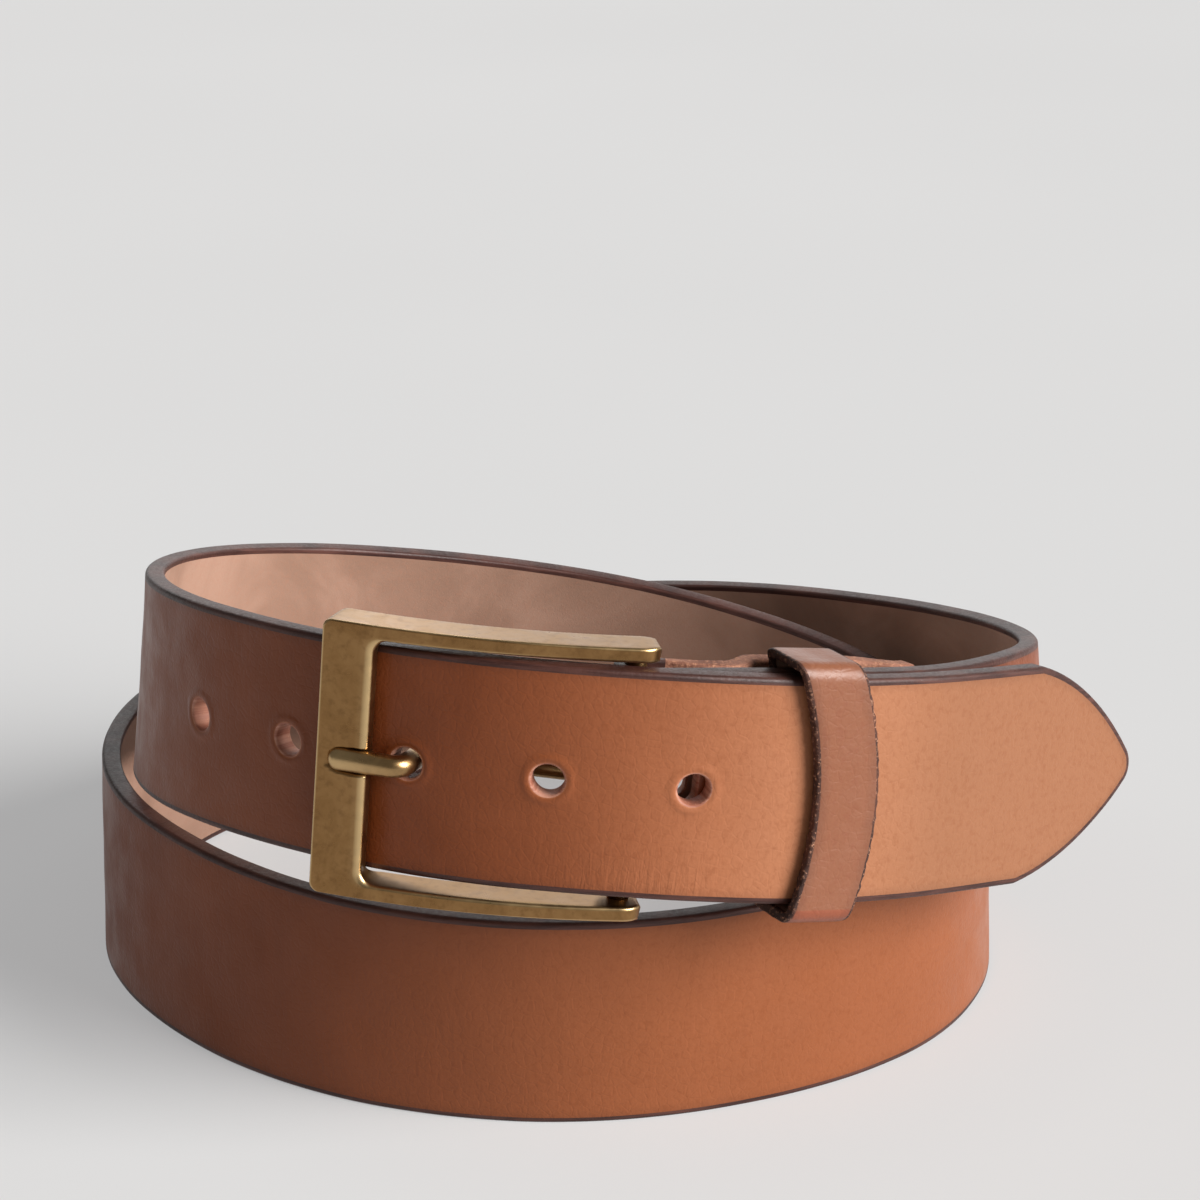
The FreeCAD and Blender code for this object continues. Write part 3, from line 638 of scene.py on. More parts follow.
WAVE = 0.10                 # the leather's slow unevenness, with this wavelength over 2 pi
WAVE_LENGTH = 9.0
FAR_FROM_EDGE = 5.0         # marks in millimetres that the materials read as "no edge, no hole near"
FAR_FROM_HOLE = 9.0
GRAIN_SLOT, EDGE_SLOT, FLESH_SLOT, RAW_SLOT, WALL_SLOT = range(5)


def tip_outline():
    """The tip's upper edge from the nose to the shoulder, as points and outward normals in the flat. The
    edge turns through 90 degrees in three arcs; the radii of the nose and of the long side are solved so
    that the arcs end at the strap's full width and at the tip's length."""
    nose_turn, shoulder_turn = math.radians(NOSE_TURN), math.radians(SHOULDER_TURN)
    system = np.array([
        [math.sin(nose_turn), math.sin(shoulder_turn) - math.sin(nose_turn)],
        [1 - math.cos(nose_turn), math.cos(nose_turn) - math.cos(shoulder_turn)],
    ])
    reach = np.array([
        WIDTH / 2 - SHOULDER_RADIUS * (1 - math.sin(shoulder_turn)),
        TIP_LENGTH - SHOULDER_RADIUS * math.cos(shoulder_turn),
    ])
    nose, side = np.linalg.solve(system, reach)
    turns = np.concatenate([
        np.linspace(0, nose_turn, 15)[:-1],
        np.linspace(nose_turn, shoulder_turn, 15)[:-1],
        np.linspace(shoulder_turn, math.pi / 2, 7),
    ])
    radius = np.where(turns < nose_turn, nose, np.where(turns < shoulder_turn, side, SHOULDER_RADIUS))
    step = np.diff(turns)
    middle = (turns[1:] + turns[:-1]) / 2
    chord = 2 * radius[:-1] * np.sin(step / 2)
    place = np.concatenate([[0.0], np.cumsum(chord * np.sin(middle))])
    height = np.concatenate([[0.0], np.cumsum(chord * np.cos(middle))])
    normal = beside(-np.cos(turns), np.sin(turns))
    return beside(place, height), normal


def strap_columns():
    """Places and half widths of the flat faces' columns, and the upper edge's normal at each. Columns close
    up on the tip and the flap, and a hole has its own patch of square cells."""
    edge, normal = tip_outline()
    inset = edge - normal * RIM_INSET
    slot_low = STRAP.length - SLOT_REACH - SLOT_MARGIN
    slot_high = FLAP_START + SLOT_REACH + SLOT_MARGIN
    stops = [inset[-1, 0]]
    counts = []
    for place in HOLE_PLACES:
        stops += [place - PATCH_CELLS * CELL, place + PATCH_CELLS * CELL]
        counts += [0, 2 * PATCH_CELLS]
    stops += [slot_low, slot_high, STRAP_END - RIM_INSET]
    counts += [0, 0, 0]
    parts = []
    for low, high, count in zip(stops, stops[1:], counts):
        step = FLAP_STEP if low >= slot_low else COLUMN_STEP
        count = count or max(1, round((high - low) / step))
        parts.append(np.linspace(low, high, count + 1)[:-1])
    straight = np.concatenate(parts + [[stops[-1]]])
    places = np.concatenate([inset[:-1, 0], straight])
    halves = np.concatenate([inset[:-1, 1], np.full(len(straight), WIDTH / 2 - RIM_INSET)])
    normals = np.vstack([normal[:-1], np.tile([0.0, 1.0], (len(straight), 1))])
    return places, halves, normals, (slot_low, slot_high)


def rounded_box(points, half_long, half_high, corner):
    """Points moved to a rounded rectangle: each is first held inside the rectangle less its corner radius,
    then moved out by that radius towards where it was."""
    core = np.clip(points, [corner - half_long, corner - half_high], [half_long - corner, half_high - corner])
    return core + unit(points - core) * corner


def square_loop(columns, rows):
    """Points round a rectangle of column places and row heights, anticlockwise."""
    sides = [(columns, rows[0]), (columns[-1], rows), (columns[::-1], rows[-1]), (columns[0], rows[::-1])]
    return np.vstack([beside(*side)[:-1] for side in sides])


def opening(sheets, columns, rows, middle, half_long, half_high, corner):
    """A punched opening: rings from a square patch of the grid in to the rounded hole on both faces, and
    its wall. The grain is puckered up a little round it, and the wall's mouths are rounded."""
    loop = square_loop(columns, rows) - [middle, 0.0]
    hole = rounded_box(loop, half_long, half_high, corner)
    outward = unit(rounded_box(loop, half_long + 1, half_high + 1, corner + 1) - hole)
    loop, hole = loop + [middle, 0.0], hole + [middle, 0.0]
    share = np.linspace(0, 1, 9)[None, :, None]
    mouth = hole + outward * MOUTH_ROUND
    ring = loop[:, None] * (1 - share) + mouth[:, None] * share
    gap = np.linalg.norm(ring - hole[:, None], axis=-1)
    pucker = LIP_HEIGHT * np.exp(-((gap - LIP_PLACE) / LIP_SPREAD) ** 2) * (share[..., 0] > 0)
    place, height = ring[..., 0], ring[..., 1]
    values = beside(place, height, FAR_FROM_EDGE, gap)
    sheets.add(beside(place, height, 1 + pucker), values, GRAIN_SLOT, close=True)
    sheets.add(beside(place, height, -1.0), values, FLESH_SLOT, close=True)
    turn = np.radians([0, 30, 60, 90])
    out = MOUTH_ROUND * (1 - np.concatenate([np.sin(turn), np.cos(turn)]))
    depth = np.concatenate([1 - MOUTH_DEPTH * (1 - np.cos(turn)), -1 + MOUTH_DEPTH * (1 - np.sin(turn))])
    depth[0], depth[-1] = (1 + pucker)[0, -1], -1.0
    wall = hole[:, None] + outward[:, None] * out[None, :, None]
    place, height = wall[..., 0], wall[..., 1]
    sheets.add(beside(place, height, depth), beside(place, height, FAR_FROM_EDGE, 0.0), WALL_SLOT, close=True)


def rim_profile():
    """The rim's cross-section: how far it stands out from the flat faces' edge, and its depth. Two rounded
    corners with a flat edge between."""
    turn = np.linspace(0, math.pi / 2, 6)
    half = THICKNESS / 2
    out = np.concatenate([[0.0], RIM_INSET - RIM_FRONT + RIM_FRONT * np.sin(turn),
                          [RIM_INSET], RIM_INSET - RIM_BACK + RIM_BACK * np.cos(turn), [0.0]])
    depth = np.concatenate([[half], half - RIM_FRONT + RIM_FRONT * np.cos(turn),
                            [0.0], -half + RIM_BACK - RIM_BACK * np.sin(turn), [-half]])
    return out, depth / half


def leather_strap():
    """The whole strap as one closed surface. It is drawn flat, as a grid of places and heights with its tip,
    holes and slot, and then every point is bent into the coil."""
    places, halves, normals, (slot_low, slot_high) = strap_columns()
    rows = np.linspace(-1, 1, ROWS + 1)
    heights = halves[:, None] * rows
    grid_places = np.broadcast_to(places[:, None], heights.shape)
    edge, _ = tip_outline()
    gap = WIDTH / 2 - np.abs(heights)
    near = places < TIP_LENGTH + TIP_BLEED
    outline = np.vstack([edge, edge * [1, -1]])
    flat = beside(grid_places[near], heights[near])
    away = np.linalg.norm(flat[:, :, None] - outline, axis=-1).min(axis=-1)
    gap[near] = np.minimum(gap[near], away)
    values = beside(grid_places, heights, gap, FAR_FROM_HOLE)

    keep = np.ones((len(places) - 1, ROWS), bool)
    sheets = Sheets()
    openings = [(place, HOLE_RADIUS, HOLE_RADIUS, HOLE_RADIUS, PATCH_CELLS, PATCH_CELLS * CELL)
                for place in HOLE_PLACES]
    slot_middle, slot_reach = (slot_low + slot_high) / 2, (slot_high - slot_low) / 2
    openings.append((slot_middle, slot_reach - SLOT_MARGIN, SLOT_HALF_HEIGHT, SLOT_CORNER, PATCH_CELLS + 2,
                     slot_reach))
    for middle, half_long, half_high, corner, cells, reach in openings:
        first, last = np.abs(places - middle - np.array([[-reach], [reach]])).argmin(axis=1)
        low, high = ROWS // 2 - cells, ROWS // 2 + cells
        keep[first:last, low:high] = False
        opening(sheets, places[first:last + 1], heights[first, low:high + 1], middle,
                half_long, half_high, corner)
    for depth, slot in ((1.0, GRAIN_SLOT), (-1.0, FLESH_SLOT)):
        sheets.add(beside(grid_places, heights, depth), values, slot, keep)

    out, depth = rim_profile()
    corner_turn = np.linspace(0, math.pi / 2, 5)[1:]
    end_normal = beside(np.sin(corner_turn), np.cos(corner_turn))
    corner = np.tile([places[-1], halves[-1]], (len(end_normal), 1))
    end_rows = halves[-1] * rows[::-1][1:-1]
    base = np.vstack([
        beside(places, halves), corner, beside(places[-1], end_rows), (corner * [1, -1])[::-1],
        beside(places, -halves)[::-1][:-1],
    ])
    normal = np.vstack([
        normals, end_normal, np.tile([1.0, 0.0], (len(end_rows), 1)),
        (end_normal * [1, -1])[::-1], (normals * [1, -1])[::-1][:-1],
    ])
    rim = base[:, None] + normal[:, None] * out[None, :, None]
    values = beside(rim[..., 0], rim[..., 1], RIM_INSET - out, FAR_FROM_HOLE)
    slot_of_row = np.where(base[:, 0] > FLAP_START + RAW_FROM, RAW_SLOT, EDGE_SLOT)
    for slot in (EDGE_SLOT, RAW_SLOT):
        cells = np.repeat(slot_of_row[:, None] == slot, len(out) - 1, axis=1)
        sheets.add(beside(rim[..., 0], rim[..., 1], depth), values, slot, cells, close=True)

    flat, values, faces, slots = sheets.welded()
    place, height, depth = flat.T
    points = on_strap(place, height, depth)
    outward = on_strap(place, height, depth + 1.0) - points
    wave = WAVE * ripple(place / WAVE_LENGTH, height / WAVE_LENGTH, 3) * (place < STRAP.length - STACK_LENGTH)
    fray = RAW_FRAY * ripple(place * 2.1, depth * 3.0, 5, 3, 2.0) * (place > FLAP_START + RAW_FROM)
    fray *= values[:, 2] < RAW_DEPTH
    points += unit(outward) * (wave + fray)[:, None]
    points[:, 2] = np.maximum(points[:, 2], 0.0)
    return make_object("belt_strap", points, faces, "strap", [GRAIN, EDGE, FLESH, RAW_EDGE, PUNCHED], slots,
                       values[:, :2], edge=values[:, 2], punch=values[:, 3])


strap = leather_strap()
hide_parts("strap")


# --- the keeper ---

STRIP_TURNS = 48            # points round the strip's cross-section
CUT_SHARE = 0.93            # past this share of the half width a point is on the cut edge
CUT_FUZZ = 0.16             # how far the cut edge is ragged


def leather_keeper():
    """The keeper: a strip's rounded cross-section carried round a rounded rectangle. The strip's middle is
    pushed towards the tip by a parabola over its height, which bows it, and slides evenly towards the buckle
    with height, which sets it askew."""
    low = -(THICKNESS * 1.5 + LAYER_GAP + KEEPER_BACK_GAP) - KEEPER_THICKNESS / 2
    high = THICKNESS / 2 + KEEPER_FRONT_GAP + KEEPER_THICKNESS / 2
    half = WIDTH / 2 + KEEPER_EDGE_GAP + KEEPER_THICKNESS / 2
    corner = KEEPER_CORNER - KEEPER_THICKNESS / 2
    reach, middle = (high - low) / 2, (high + low) / 2
    turn = np.linspace(0, math.pi / 2, 9)
    quarter = corner * beside(np.cos(turn), np.sin(turn)) + [reach - corner, half - corner]
    run = beside(reach, np.linspace(corner - half, half - corner, 60)[1:-1])
    crown = beside(np.linspace(reach - corner, corner - reach, 8)[1:-1], half)
    loop = np.vstack([run, quarter, crown, (quarter * [-1, 1])[::-1]])
    loop = np.vstack([loop, -loop])
    ahead = unit(np.roll(loop, -1, axis=0) - np.roll(loop, 1, axis=0))
    normal = beside(ahead[:, 1], -ahead[:, 0])
    turn = np.linspace(0, 2 * math.pi, STRIP_TURNS, endpoint=False)
    across, depth = soft_box(turn, KEEPER_WIDTH / 2, KEEPER_THICKNESS / 2, wide_power=0.22, deep_power=0.35)
    y = loop[:, 0][:, None] + normal[:, 0][:, None] * depth + middle
    z = loop[:, 1][:, None] + normal[:, 1][:, None] * depth
    top = half + KEEPER_THICKNESS / 2
    bow = KEEPER_BOW / 2 - KEEPER_BOW * (1 - (z / top) ** 2) + KEEPER_SKEW * z / top
    steps = np.linalg.norm(np.roll(loop, -1, axis=0) - loop, axis=1)
    travel = np.cumsum(steps)[:, None] * np.ones(STRIP_TURNS)
    cut = np.abs(across) > KEEPER_WIDTH / 2 * CUT_SHARE
    rough = CUT_FUZZ * ripple(travel * 1.7, depth[None] * 2.5, 11, 3, 1.8) * cut * np.sign(across)
    x = across + bow + rough
    point, ahead, up, out, _ = TIP_END.at(PIVOT_FROM_TIP - KEEPER_PLACE)
    points = point + x[..., None] * ahead + y[..., None] * out + z[..., None] * up
    index = np.arange(travel.size).reshape(travel.shape)
    faces = np.stack([index, np.roll(index, -1, axis=0), np.roll(index, (-1, -1), axis=(0, 1)),
                      np.roll(index, -1, axis=1)], axis=-1).reshape(-1, 4)
    on_edge = np.abs(across + np.roll(across, -1)) / 2 > KEEPER_WIDTH / 2 * 0.9
    below = (depth + np.roll(depth, -1)) / 2 < 0
    slots = np.tile(np.where(on_edge, EDGE_SLOT, np.where(below, FLESH_SLOT, GRAIN_SLOT)), len(loop))
    edge = np.tile(KEEPER_WIDTH / 2 - np.abs(across), len(loop))
    return make_object("belt_keeper", points.reshape(-1, 3), faces.tolist(), "keeper",
                       [KEEPER_GRAIN, KEEPER_EDGE, FLESH], slots, beside(travel, across).reshape(-1, 2),
                       edge=edge, punch=np.full(len(edge), FAR_FROM_HOLE))


keeper = leather_keeper()
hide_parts("keeper")


# --- the buckle ---

def frame_circle():
    """Centre and radius of the frame's curved front face in plan, from its two ends and its arch."""
    near, far = np.array([0.0, FRONT_AT_PIVOT]), np.array([FRAME_REACH, FRAME_FALL])
    half = np.linalg.norm(far - near) / 2
    radius = (half * half + FRAME_ARCH ** 2) / (2 * FRAME_ARCH)
    chord = unit(far - near)
    return (near + far) / 2 + np.array([chord[1], -chord[0]]) * (radius - FRAME_ARCH), radius


OUTER_CORNER = 1.6          # the end bar's corners in elevation
INNER_CORNER = 2.6
SECTION_CORNER = 0.55
BEVEL = 1.5                 # the soft bevel round the opening, at most, and its depth
BEVEL_DEPTH = 0.9
BEVEL_SHARE = 0.22          # of the section's width
GROOVE_RADIUS = 2.25
GROOVE_FLOOR = 0.8          # brass left behind the groove
GROOVE_SLACK = 0.05
GROOVE_SETBACK = 1.0        # its round end begins this far before the prong's end
BAR_ROOT = 1.0              # the pivot bar runs this far into each arm
BAR_FLARE = 0.35            # and widens there by this share, over the next length
FLARE_LENGTH = 0.7
DULL = 0.2                  # how far a plain face is rubbed bright
FRAME_CENTRE, FRAME_RADIUS = frame_circle()
NEAR_ANGLE = math.atan2(FRONT_AT_PIVOT - FRAME_CENTRE[1], -FRAME_CENTRE[0])
FAR_ANGLE = math.atan2(FRAME_FALL - FRAME_CENTRE[1], FRAME_REACH - FRAME_CENTRE[0])
FRAME_LENGTH = (NEAR_ANGLE - FAR_ANGLE) * FRAME_RADIUS


def in_plan(along, depth):
    """A point at a length along the frame's front curve and a depth behind it, in the pivot's plan."""
    angle = NEAR_ANGLE - along / FRAME_RADIUS
    reach = FRAME_RADIUS - depth
    return FRAME_CENTRE[0] + reach * np.cos(angle), FRAME_CENTRE[1] + reach * np.sin(angle)


def from_pivot(x, y, z):
    """A point of the pivot's own frame in the belt's."""
    return PIVOT + x[..., None] * PIVOT_ALONG + y[..., None] * PIVOT_OUT + z[..., None] * PIVOT_UP


def corner_arc(x, z, radius, count):
    """A quarter turn about (x, z), from straight up to straight ahead."""
    turn = np.linspace(0, math.pi / 2, count)
    return beside(x + radius * np.sin(turn), z + radius * np.cos(turn))


def prong_tip():
    """The prong's end in plan: out from the end bar's inner edge, towards its outer edge."""
    start = np.array(in_plan(FRAME_LENGTH - END_BAR_WIDTH, PRONG_TIP_SINK))
    return start + unit(np.array(in_plan(FRAME_LENGTH, PRONG_TIP_SINK)) - start) * PRONG_TIP_REACH


def u_edge(end, half, corner, arm, bar, bend):
    """One edge of the U in the flat, (length, height): out along an arm, round a corner, down the end bar,
    and back along the other arm. The last three arguments count the points on each."""
    reach = np.linspace(-ARM_DEPTH / 2, end - corner, arm, endpoint=False)
    upper = np.vstack([beside(reach, half), corner_arc(end - corner, half - corner, corner, bend)])
    down = np.linspace(1, -1, bar + 2)[1:-1] * upper[-1, 1]
    return np.vstack([upper, beside(end, down), (upper * [1, -1])[::-1]])


def brass_frame():
    """The frame: a rounded section carried round a U, from one arm's nose by the end bar to the other's.
    The U's outer and inner edges run side by side in the flat; the section spans them, with a wide soft
    bevel on its inner front edge, and the flat is then wrapped on the frame's curve. A round groove in the
    end bar takes the prong."""
    nose = -ARM_DEPTH / 2
    inner_end = FRAME_LENGTH - END_BAR_WIDTH
    arm, bar, bend = 60, 150, 14
    outer = u_edge(FRAME_LENGTH, FRAME_HALF, OUTER_CORNER, arm, bar, bend)
    inner = u_edge(inner_end, OPENING_HALF, INNER_CORNER, arm, bar, bend)
    turned = np.concatenate([np.zeros(arm), np.linspace(0, 1, bend), np.ones(bar),
                             np.linspace(1, 0, bend), np.zeros(arm)])
    deep = ARM_DEPTH + (END_BAR_THICKNESS - ARM_DEPTH) * turned ** 2 * (3 - 2 * turned)
    share, sink, shine = frame_profile()
    width = np.linalg.norm(outer - inner, axis=1)[:, None]
    bevel = np.minimum(width * BEVEL_SHARE, BEVEL)
    ratio = np.clip(share[0] * width + share[1] * bevel + share[2], 0, width) / width
    depth = sink[0] * deep[:, None] + sink[1] * np.minimum(bevel, BEVEL_DEPTH) + sink[2]
    flat = inner[:, None] + (outer - inner)[:, None] * ratio[..., None]

    along, height = flat[..., 0], flat[..., 1]
    past = np.clip((ARM_DEPTH / 2 - (along - nose)) / (ARM_DEPTH / 2), 0, 1)
    round_off = np.sqrt(np.clip(1 - past ** 2, 0.0, 1))
    arm_share = (turned < 0.01)[:, None]
    centre_depth = ARM_DEPTH / 2
    depth = np.where(arm_share, centre_depth + (depth - centre_depth) * round_off, depth)
    middle = (OPENING_HALF + FRAME_HALF) / 2 * np.sign(height)
    soft = np.clip(round_off * 2.2, 0, 1)
    height = np.where(arm_share, middle + (height - middle) * soft, height)

    off_end = np.clip(along - (inner_end + PRONG_TIP_REACH - GROOVE_SETBACK), 0, None)
    away = np.sqrt(height ** 2 + off_end ** 2)
    sunk = PRONG_TIP_SINK + np.sqrt(np.clip(GROOVE_RADIUS ** 2 - away ** 2, 0, None)) - GROOVE_SLACK
    in_groove = (turned > 0.5)[:, None] & (away < GROOVE_RADIUS) & (depth < sunk)
    depth = np.where(in_groove, np.minimum(sunk, END_BAR_THICKNESS - GROOVE_FLOOR), depth)

    x, y = in_plan(along, depth)
    grid = from_pivot(x, y, height)
    sheets = Sheets()
    edge = np.broadcast_to(shine, along.shape)
    sheets.add(grid.transpose(1, 0, 2), edge.T, close=True)
    for row in (0, -1):
        ring = grid[row]
        centre = np.broadcast_to(ring.mean(axis=0), ring.shape)
        cap = np.stack([centre, centre + (ring - centre) * 0.5, ring], axis=1)
        sheets.add(cap, np.full((len(ring), 3), DULL), close=True)
    points, values, faces, _ = sheets.welded()
    return points, values[:, 0], faces


def frame_profile():
    """The section's place across, depth and shine, going round it from the inner front edge: bevel, front,
    outer front corner, outer side, outer back corner, back, inner back corner, inner side. Across is a
    share of the width, a share of the bevel and millimetres; depth is the same with the frame's depth.
    Shine is partly rubbed brightness and partly a painted highlight, peaking halfway round the bevel and
    corners."""
    corner = SECTION_CORNER
    bevel = np.linspace(0, math.pi / 2, 6)
    turn = np.linspace(0, math.pi / 2, 7)
    sine, cosine, lit = np.sin(turn), np.cos(turn), np.sin(2 * turn)
    flat = np.linspace(0, 1, 9)[1:-1]
    few = flat[::2]
    table = np.vstack([beside(*row) for row in (
        # the bevel's painted highlight line, brightest halfway round it
        (0, 1 - np.cos(bevel), 0, 0, 1 - np.sin(bevel), 0, 0.9 * np.sin(2 * bevel) + 0.1),
        (flat, 1 - flat, -corner * flat, 0, 0, 0, 0),
        (1, 0, corner * (sine - 1), 0, 0, corner * (1 - cosine), 0.8 * lit),
        (1, 0, 0, few, 0, corner * (1 - 2 * few), 0.05),
        (1, 0, corner * (cosine - 1), 1, 0, corner * (sine - 1), 0.3 * lit),
        (1 - few, 0, corner * (2 * few - 1), 1, 0, 0, 0),
        (0, 0, corner * (1 - sine), 1, 0, corner * (cosine - 1), 0.3 * lit),
        (0, 0, 0, 1 - few, few, corner * (few - 1), 0.05),
    )]).T
    return table[:3, None], table[3:6, None], table[6]


def brass_buckle():
    """The frame with its cast pivot bar, as one piece: the U, and a round bar that widens by a bell curve
    where it runs into each arm."""
    points, shine, faces = brass_frame()
    half = OPENING_HALF + BAR_ROOT
    z = np.linspace(-half, half, 21)
    radius = BAR_RADIUS * (1 + BAR_FLARE * np.exp(-((OPENING_HALF - np.abs(z)) / FLARE_LENGTH) ** 2))
    z = np.concatenate([[-half], z, [half]])
    radius = np.concatenate([[0.0], radius, [0.0]])
    angle = np.linspace(0, 2 * math.pi, 32, endpoint=False)[:, None]
    grid = from_pivot(radius * np.cos(angle), radius * np.sin(angle), z + 0 * angle)
    sheets = Sheets()
    sheets.add(grid, np.full(grid.shape[:2], DULL), close=True)
    bar_points, bar_shine, bar_faces, _ = sheets.welded()
    shift = len(points)
    faces = faces + [[corner + shift for corner in face] for face in bar_faces]
    return make_object("buckle_frame_brass", np.vstack([points, bar_points]), faces, "frame", [BRASS],
                       edge=np.concatenate([shine, bar_shine[:, 0]]))


buckle = brass_buckle()
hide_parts("buckle_frame")


# --- the prong ---

PRONG_FLAT_LENGTH = 14.0    # over this length the prong grows taller and thinner towards its tip
PRONG_TALLER = 0.1
PRONG_THINNER = 0.08


def prong_route():
    """The prong's middle line in plan: behind the strap, out through its hole, and over the end bar, as
    straight runs with round bends."""
    point, _, _, out, _ = TIP_END.at(HOLE_PLACES[2])
    hole = np.array([(point - PIVOT) @ PIVOT_ALONG, (point - PIVOT) @ PIVOT_OUT])
    normal = unit(np.array([out @ PIVOT_ALONG, out @ PIVOT_OUT]))
    half = THICKNESS / 2 + PRONG_RADIUS
    inner = hole - normal * (half + PRONG_INNER_GAP)
    outer = hole + normal * (half + PRONG_OUTER_GAP)
    corners = [unit(inner) * (BAR_RADIUS + EYE_WALL * 0.6), inner, outer, prong_tip()]
    route = [corners[0]]
    for before, corner, after in zip(corners, corners[1:], corners[2:]):
        back, ahead = unit(before - corner), unit(after - corner)
        half_turn = math.acos(back @ ahead) / 2
        reach = PRONG_BEND_RADIUS / math.tan(half_turn)
        centre = corner + unit(back + ahead) * PRONG_BEND_RADIUS / math.sin(half_turn)
        enter, leave = corner + back * reach - centre, corner + ahead * reach - centre
        share = np.linspace(0, 1, 12)[:, None]
        swing = math.pi - 2 * half_turn
        arc = (np.sin((1 - share) * swing) * enter + np.sin(share * swing) * leave) / math.sin(swing)
        route += [route[-1] + (centre + enter - route[-1]) * f for f in np.linspace(0, 1, 8)[1:-1]]
        route += list(centre + arc)
    route += [route[-1] + (corners[-1] - route[-1]) * f for f in np.linspace(0, 1, 12)[1:]]
    return np.array(route)


def brass_prong():
    """The prong: a tube along its route, slightly taller than deep, with a half-round tip, and a ring round
    the pivot bar for its eye."""
    route = prong_route()
    line = from_pivot(route[:, 0], route[:, 1], np.zeros(len(route)))
    line, share = round_ended(line, PRONG_RADIUS)
    walk = np.concatenate([[0.0], np.cumsum(np.linalg.norm(np.diff(line, axis=0), axis=1))])
    flat = 1 - blend(walk[-1] - walk, 0.0, PRONG_FLAT_LENGTH)
    high = PRONG_RADIUS * share * (1 + PRONG_TALLER * flat)
    across = PRONG_RADIUS * share * (1 - PRONG_THINNER * flat)
    ups = np.tile(PIVOT_UP, (len(line), 1))
    grid = tube(line, ups, across, high, 28)
    sheets = Sheets()
    sheets.add(grid, np.broadcast_to(0.25 + 0.5 * flat, grid.shape[:2]), close=True)
    wide, height = soft_box(np.linspace(0, 2 * math.pi, 24, endpoint=False), EYE_WALL / 2, EYE_HALF_HEIGHT,
                            wide_power=0.5, deep_power=0.35)
    reach = BAR_RADIUS + EYE_CLEARANCE + EYE_WALL / 2 + wide
    angle = np.linspace(0, 2 * math.pi, 49)[:, None]
    eye = from_pivot(reach * np.cos(angle), reach * np.sin(angle), height + 0 * angle).transpose(1, 0, 2)
    sheets.add(eye, np.full(eye.shape[:2], DULL), close=True)
    points, values, faces, _ = sheets.welded()
    return make_object("buckle_prong_brass", points, faces, "prong", [BRASS], edge=values[:, 0])


prong = brass_prong()
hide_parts("prong")


# --- stitches and staple ---

THREAD_PITCH = 4.5
THREAD_COUNT = 8
THREAD_RADIUS = 0.35
THREAD_SUNK_OUTER = 0.2     # a stitch's middle under the buckle end's face, which the tip end nearly touches
THREAD_SUNK_INNER = 0.05    # and under the flap's face, which is open
THREAD_SLANT = 0.25         # how far a stitch leans to each side of the row
THREAD_DIP = 0.3            # how far its ends sink into the leather
THREAD_TIGHT = 0.9          # the pulled thread's radius, as a share
THREAD_TURNS = 10


def stitch_row(name, back, node):
    """A row of saddle stitches: short slanted capsules between neighbouring leg holes, on the outer and the
    inner face of the two layers, and the legs through them."""
    back = np.array([back])
    point, ahead, up, out, _ = (part[0] for part in behind_tip_end(back, layer_depth(back)))
    half = end_thickness(back)[0] / 2
    outer = half - THREAD_SUNK_OUTER
    inner = (layer_depth(back) - flap_depth(back))[0] - half + THREAD_SUNK_INNER
    heights = THREAD_PITCH * (np.arange(THREAD_COUNT) - (THREAD_COUNT - 1) / 2)
    radius = THREAD_RADIUS * THREAD_TIGHT
    sheets = Sheets()

    def thread(line, sideways, size):
        """A round tube along a line, added to the row."""
        grid = tube(line, np.tile(sideways, (len(line), 1)), size, size, THREAD_TURNS)
        sheets.add(grid, np.zeros(grid.shape[:2]), close=True)

    swing = np.linspace(-1, 1, 9)
    for low, high in zip(heights, heights[1:]):
        for y, side in ((outer, 1), (inner, -1)):
            x = THREAD_SLANT * side * swing
            z = (low + high) / 2 + (high - low) / 2 * swing
            line = (point + x[:, None] * ahead + (y - THREAD_DIP * side * swing ** 6)[:, None] * out
                    + z[:, None] * up)
            line, size = round_ended(line, radius, 4)
            thread(line, ahead, THREAD_RADIUS * size)
    for height in heights:
        y = np.concatenate([[inner, inner + 0.02], np.linspace(inner, outer, 6)[1:-1], [outer - 0.02, outer]])
        size = np.concatenate([[0.0], np.full(len(y) - 2, radius), [0.0]])
        thread(point + y[:, None] * out + height * up, up, size)
    points, _, faces, _ = sheets.welded()
    piece = make_object(name, points, faces, "strap", [THREAD])
    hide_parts(node)


stitch_row("stitches_by_bar", STITCH_PLACES[0], "stitching_by_bar")
stitch_row("stitches_by_flap_end", STITCH_PLACES[1], "stitching_by_flap_end")
staple = frame["nodes"]["keeper_staple"]
staple.data.materials.clear()
staple.data.materials.append(WIRE)


# --- stage, light and camera ---

def pale_floor():
    """A plain pale floor that runs far back, so that it is the background too."""
    mesh = bpy.data.meshes.new("floor")
    reach = 6.0
    below = -0.00005
    corners = [(x * reach, y * reach, below) for x, y in ((-1, -1), (1, -1), (1, 1), (-1, 1))]
    mesh.from_pydata(corners, [], [(0, 1, 2, 3)])
    n = Nodes("pale_floor")
    tone = n.mix(n.ramp(n.noise(2.0, 2.0), 0.3, 0.7), color(166, 166, 166), color(169, 169, 169))
    mesh.materials.append(n.finish(tone, 1.0, n.bump(n.noise(300.0), 0.02, 0.0002), Specular_IOR_Level=0.0,
                                   Emission_Color=(0.99, 0.99, 1.0, 1.0), Emission_Strength=0.345))
    floor = bpy.data.objects.new("floor", mesh)
    bpy.context.scene.collection.objects.link(floor)


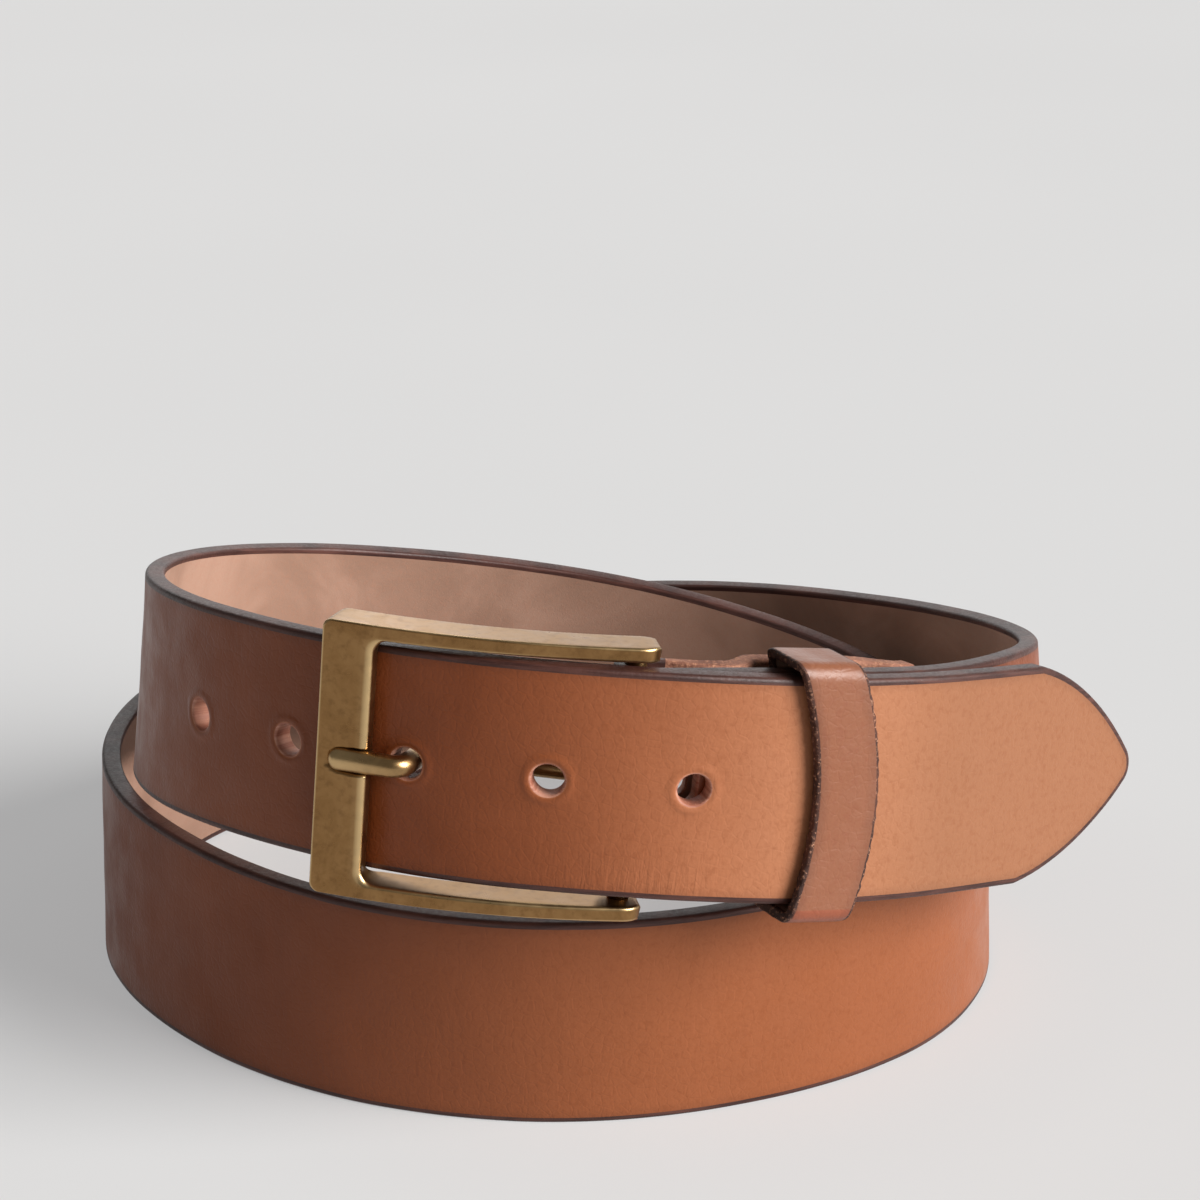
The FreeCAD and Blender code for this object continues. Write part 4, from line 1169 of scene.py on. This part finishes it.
def sun_light(name, across, dip, strength, spread, tint):
    """A distant light. It comes from `across` degrees anticlockwise of +X, `dip` degrees above level."""
    data = bpy.data.lights.new(name, "SUN")
    data.energy = strength
    data.angle = math.radians(spread)
    data.color = tint
    light = bpy.data.objects.new(name, data)
    turn, rise = math.radians(across), math.radians(dip)
    toward = Vector((math.cos(turn) * math.cos(rise), math.sin(turn) * math.cos(rise), math.sin(rise)))
    light.rotation_mode = "QUATERNION"
    light.rotation_quaternion = toward.to_track_quat("Z", "Y")
    light.location = toward
    bpy.context.scene.collection.objects.link(light)


def soft_panel(name, place, target, width, height, power, diffuse=False):
    """A rectangular soft light at a place in metres, aimed at a target. It shows in reflections only, or
    lights plainly too when diffuse is set."""
    data = bpy.data.lights.new(name, "AREA")
    data.shape = "RECTANGLE"
    data.size, data.size_y = width, height
    data.energy = power
    light = bpy.data.objects.new(name, data)
    light.location = place
    light.visible_diffuse = diffuse
    light.visible_camera = False
    light.rotation_mode = "QUATERNION"
    light.rotation_quaternion = (Vector(target) - Vector(place)).to_track_quat("-Z", "Y")
    bpy.context.scene.collection.objects.link(light)


pale_floor()
sun_light("window_from_right", -24.0, 25.0, 6.1, 40.0, (1.0, 0.985, 0.965))
BELT_MIDDLE = (0.0, 0.0, 0.06)
soft_panel("panel_behind", (0.1, 1.2, 0.47), BELT_MIDDLE, 1.8, 0.8, 6.0)
soft_panel("panel_front_right", (0.75, -0.7, 0.75), BELT_MIDDLE, 0.4, 0.4, 2.0)
soft_panel("glow_on_inner_right", (-0.03, 0.03, 0.15), (0.08, 0.03, 0.05), 0.08, 0.05, 0.022, True)

world = bpy.data.worlds.new("studio")
bpy.context.scene.world = world
world.use_nodes = True
sky = world.node_tree.nodes["Background"].inputs
sky["Color"].default_value, sky["Strength"].default_value = (1.0, 0.98, 0.94, 1.0), 0.17
bpy.context.scene.view_settings.view_transform = "Standard"

CAMERA_PLACE = Vector((-0.35, -594.96, 282.30)) * MM
CAMERA_DIP = math.radians(19.425)
camera_data = bpy.data.cameras.new("camera")
camera_data.lens = 98.9
camera_data.sensor_width = 36.0
camera_data.clip_start, camera_data.clip_end = 0.01, 50.0
camera = bpy.data.objects.new("camera", camera_data)
camera.location = CAMERA_PLACE
camera.rotation_euler = (math.pi / 2 - CAMERA_DIP, 0.0, 0.0)
bpy.context.scene.collection.objects.link(camera)
bpy.context.scene.camera = camera
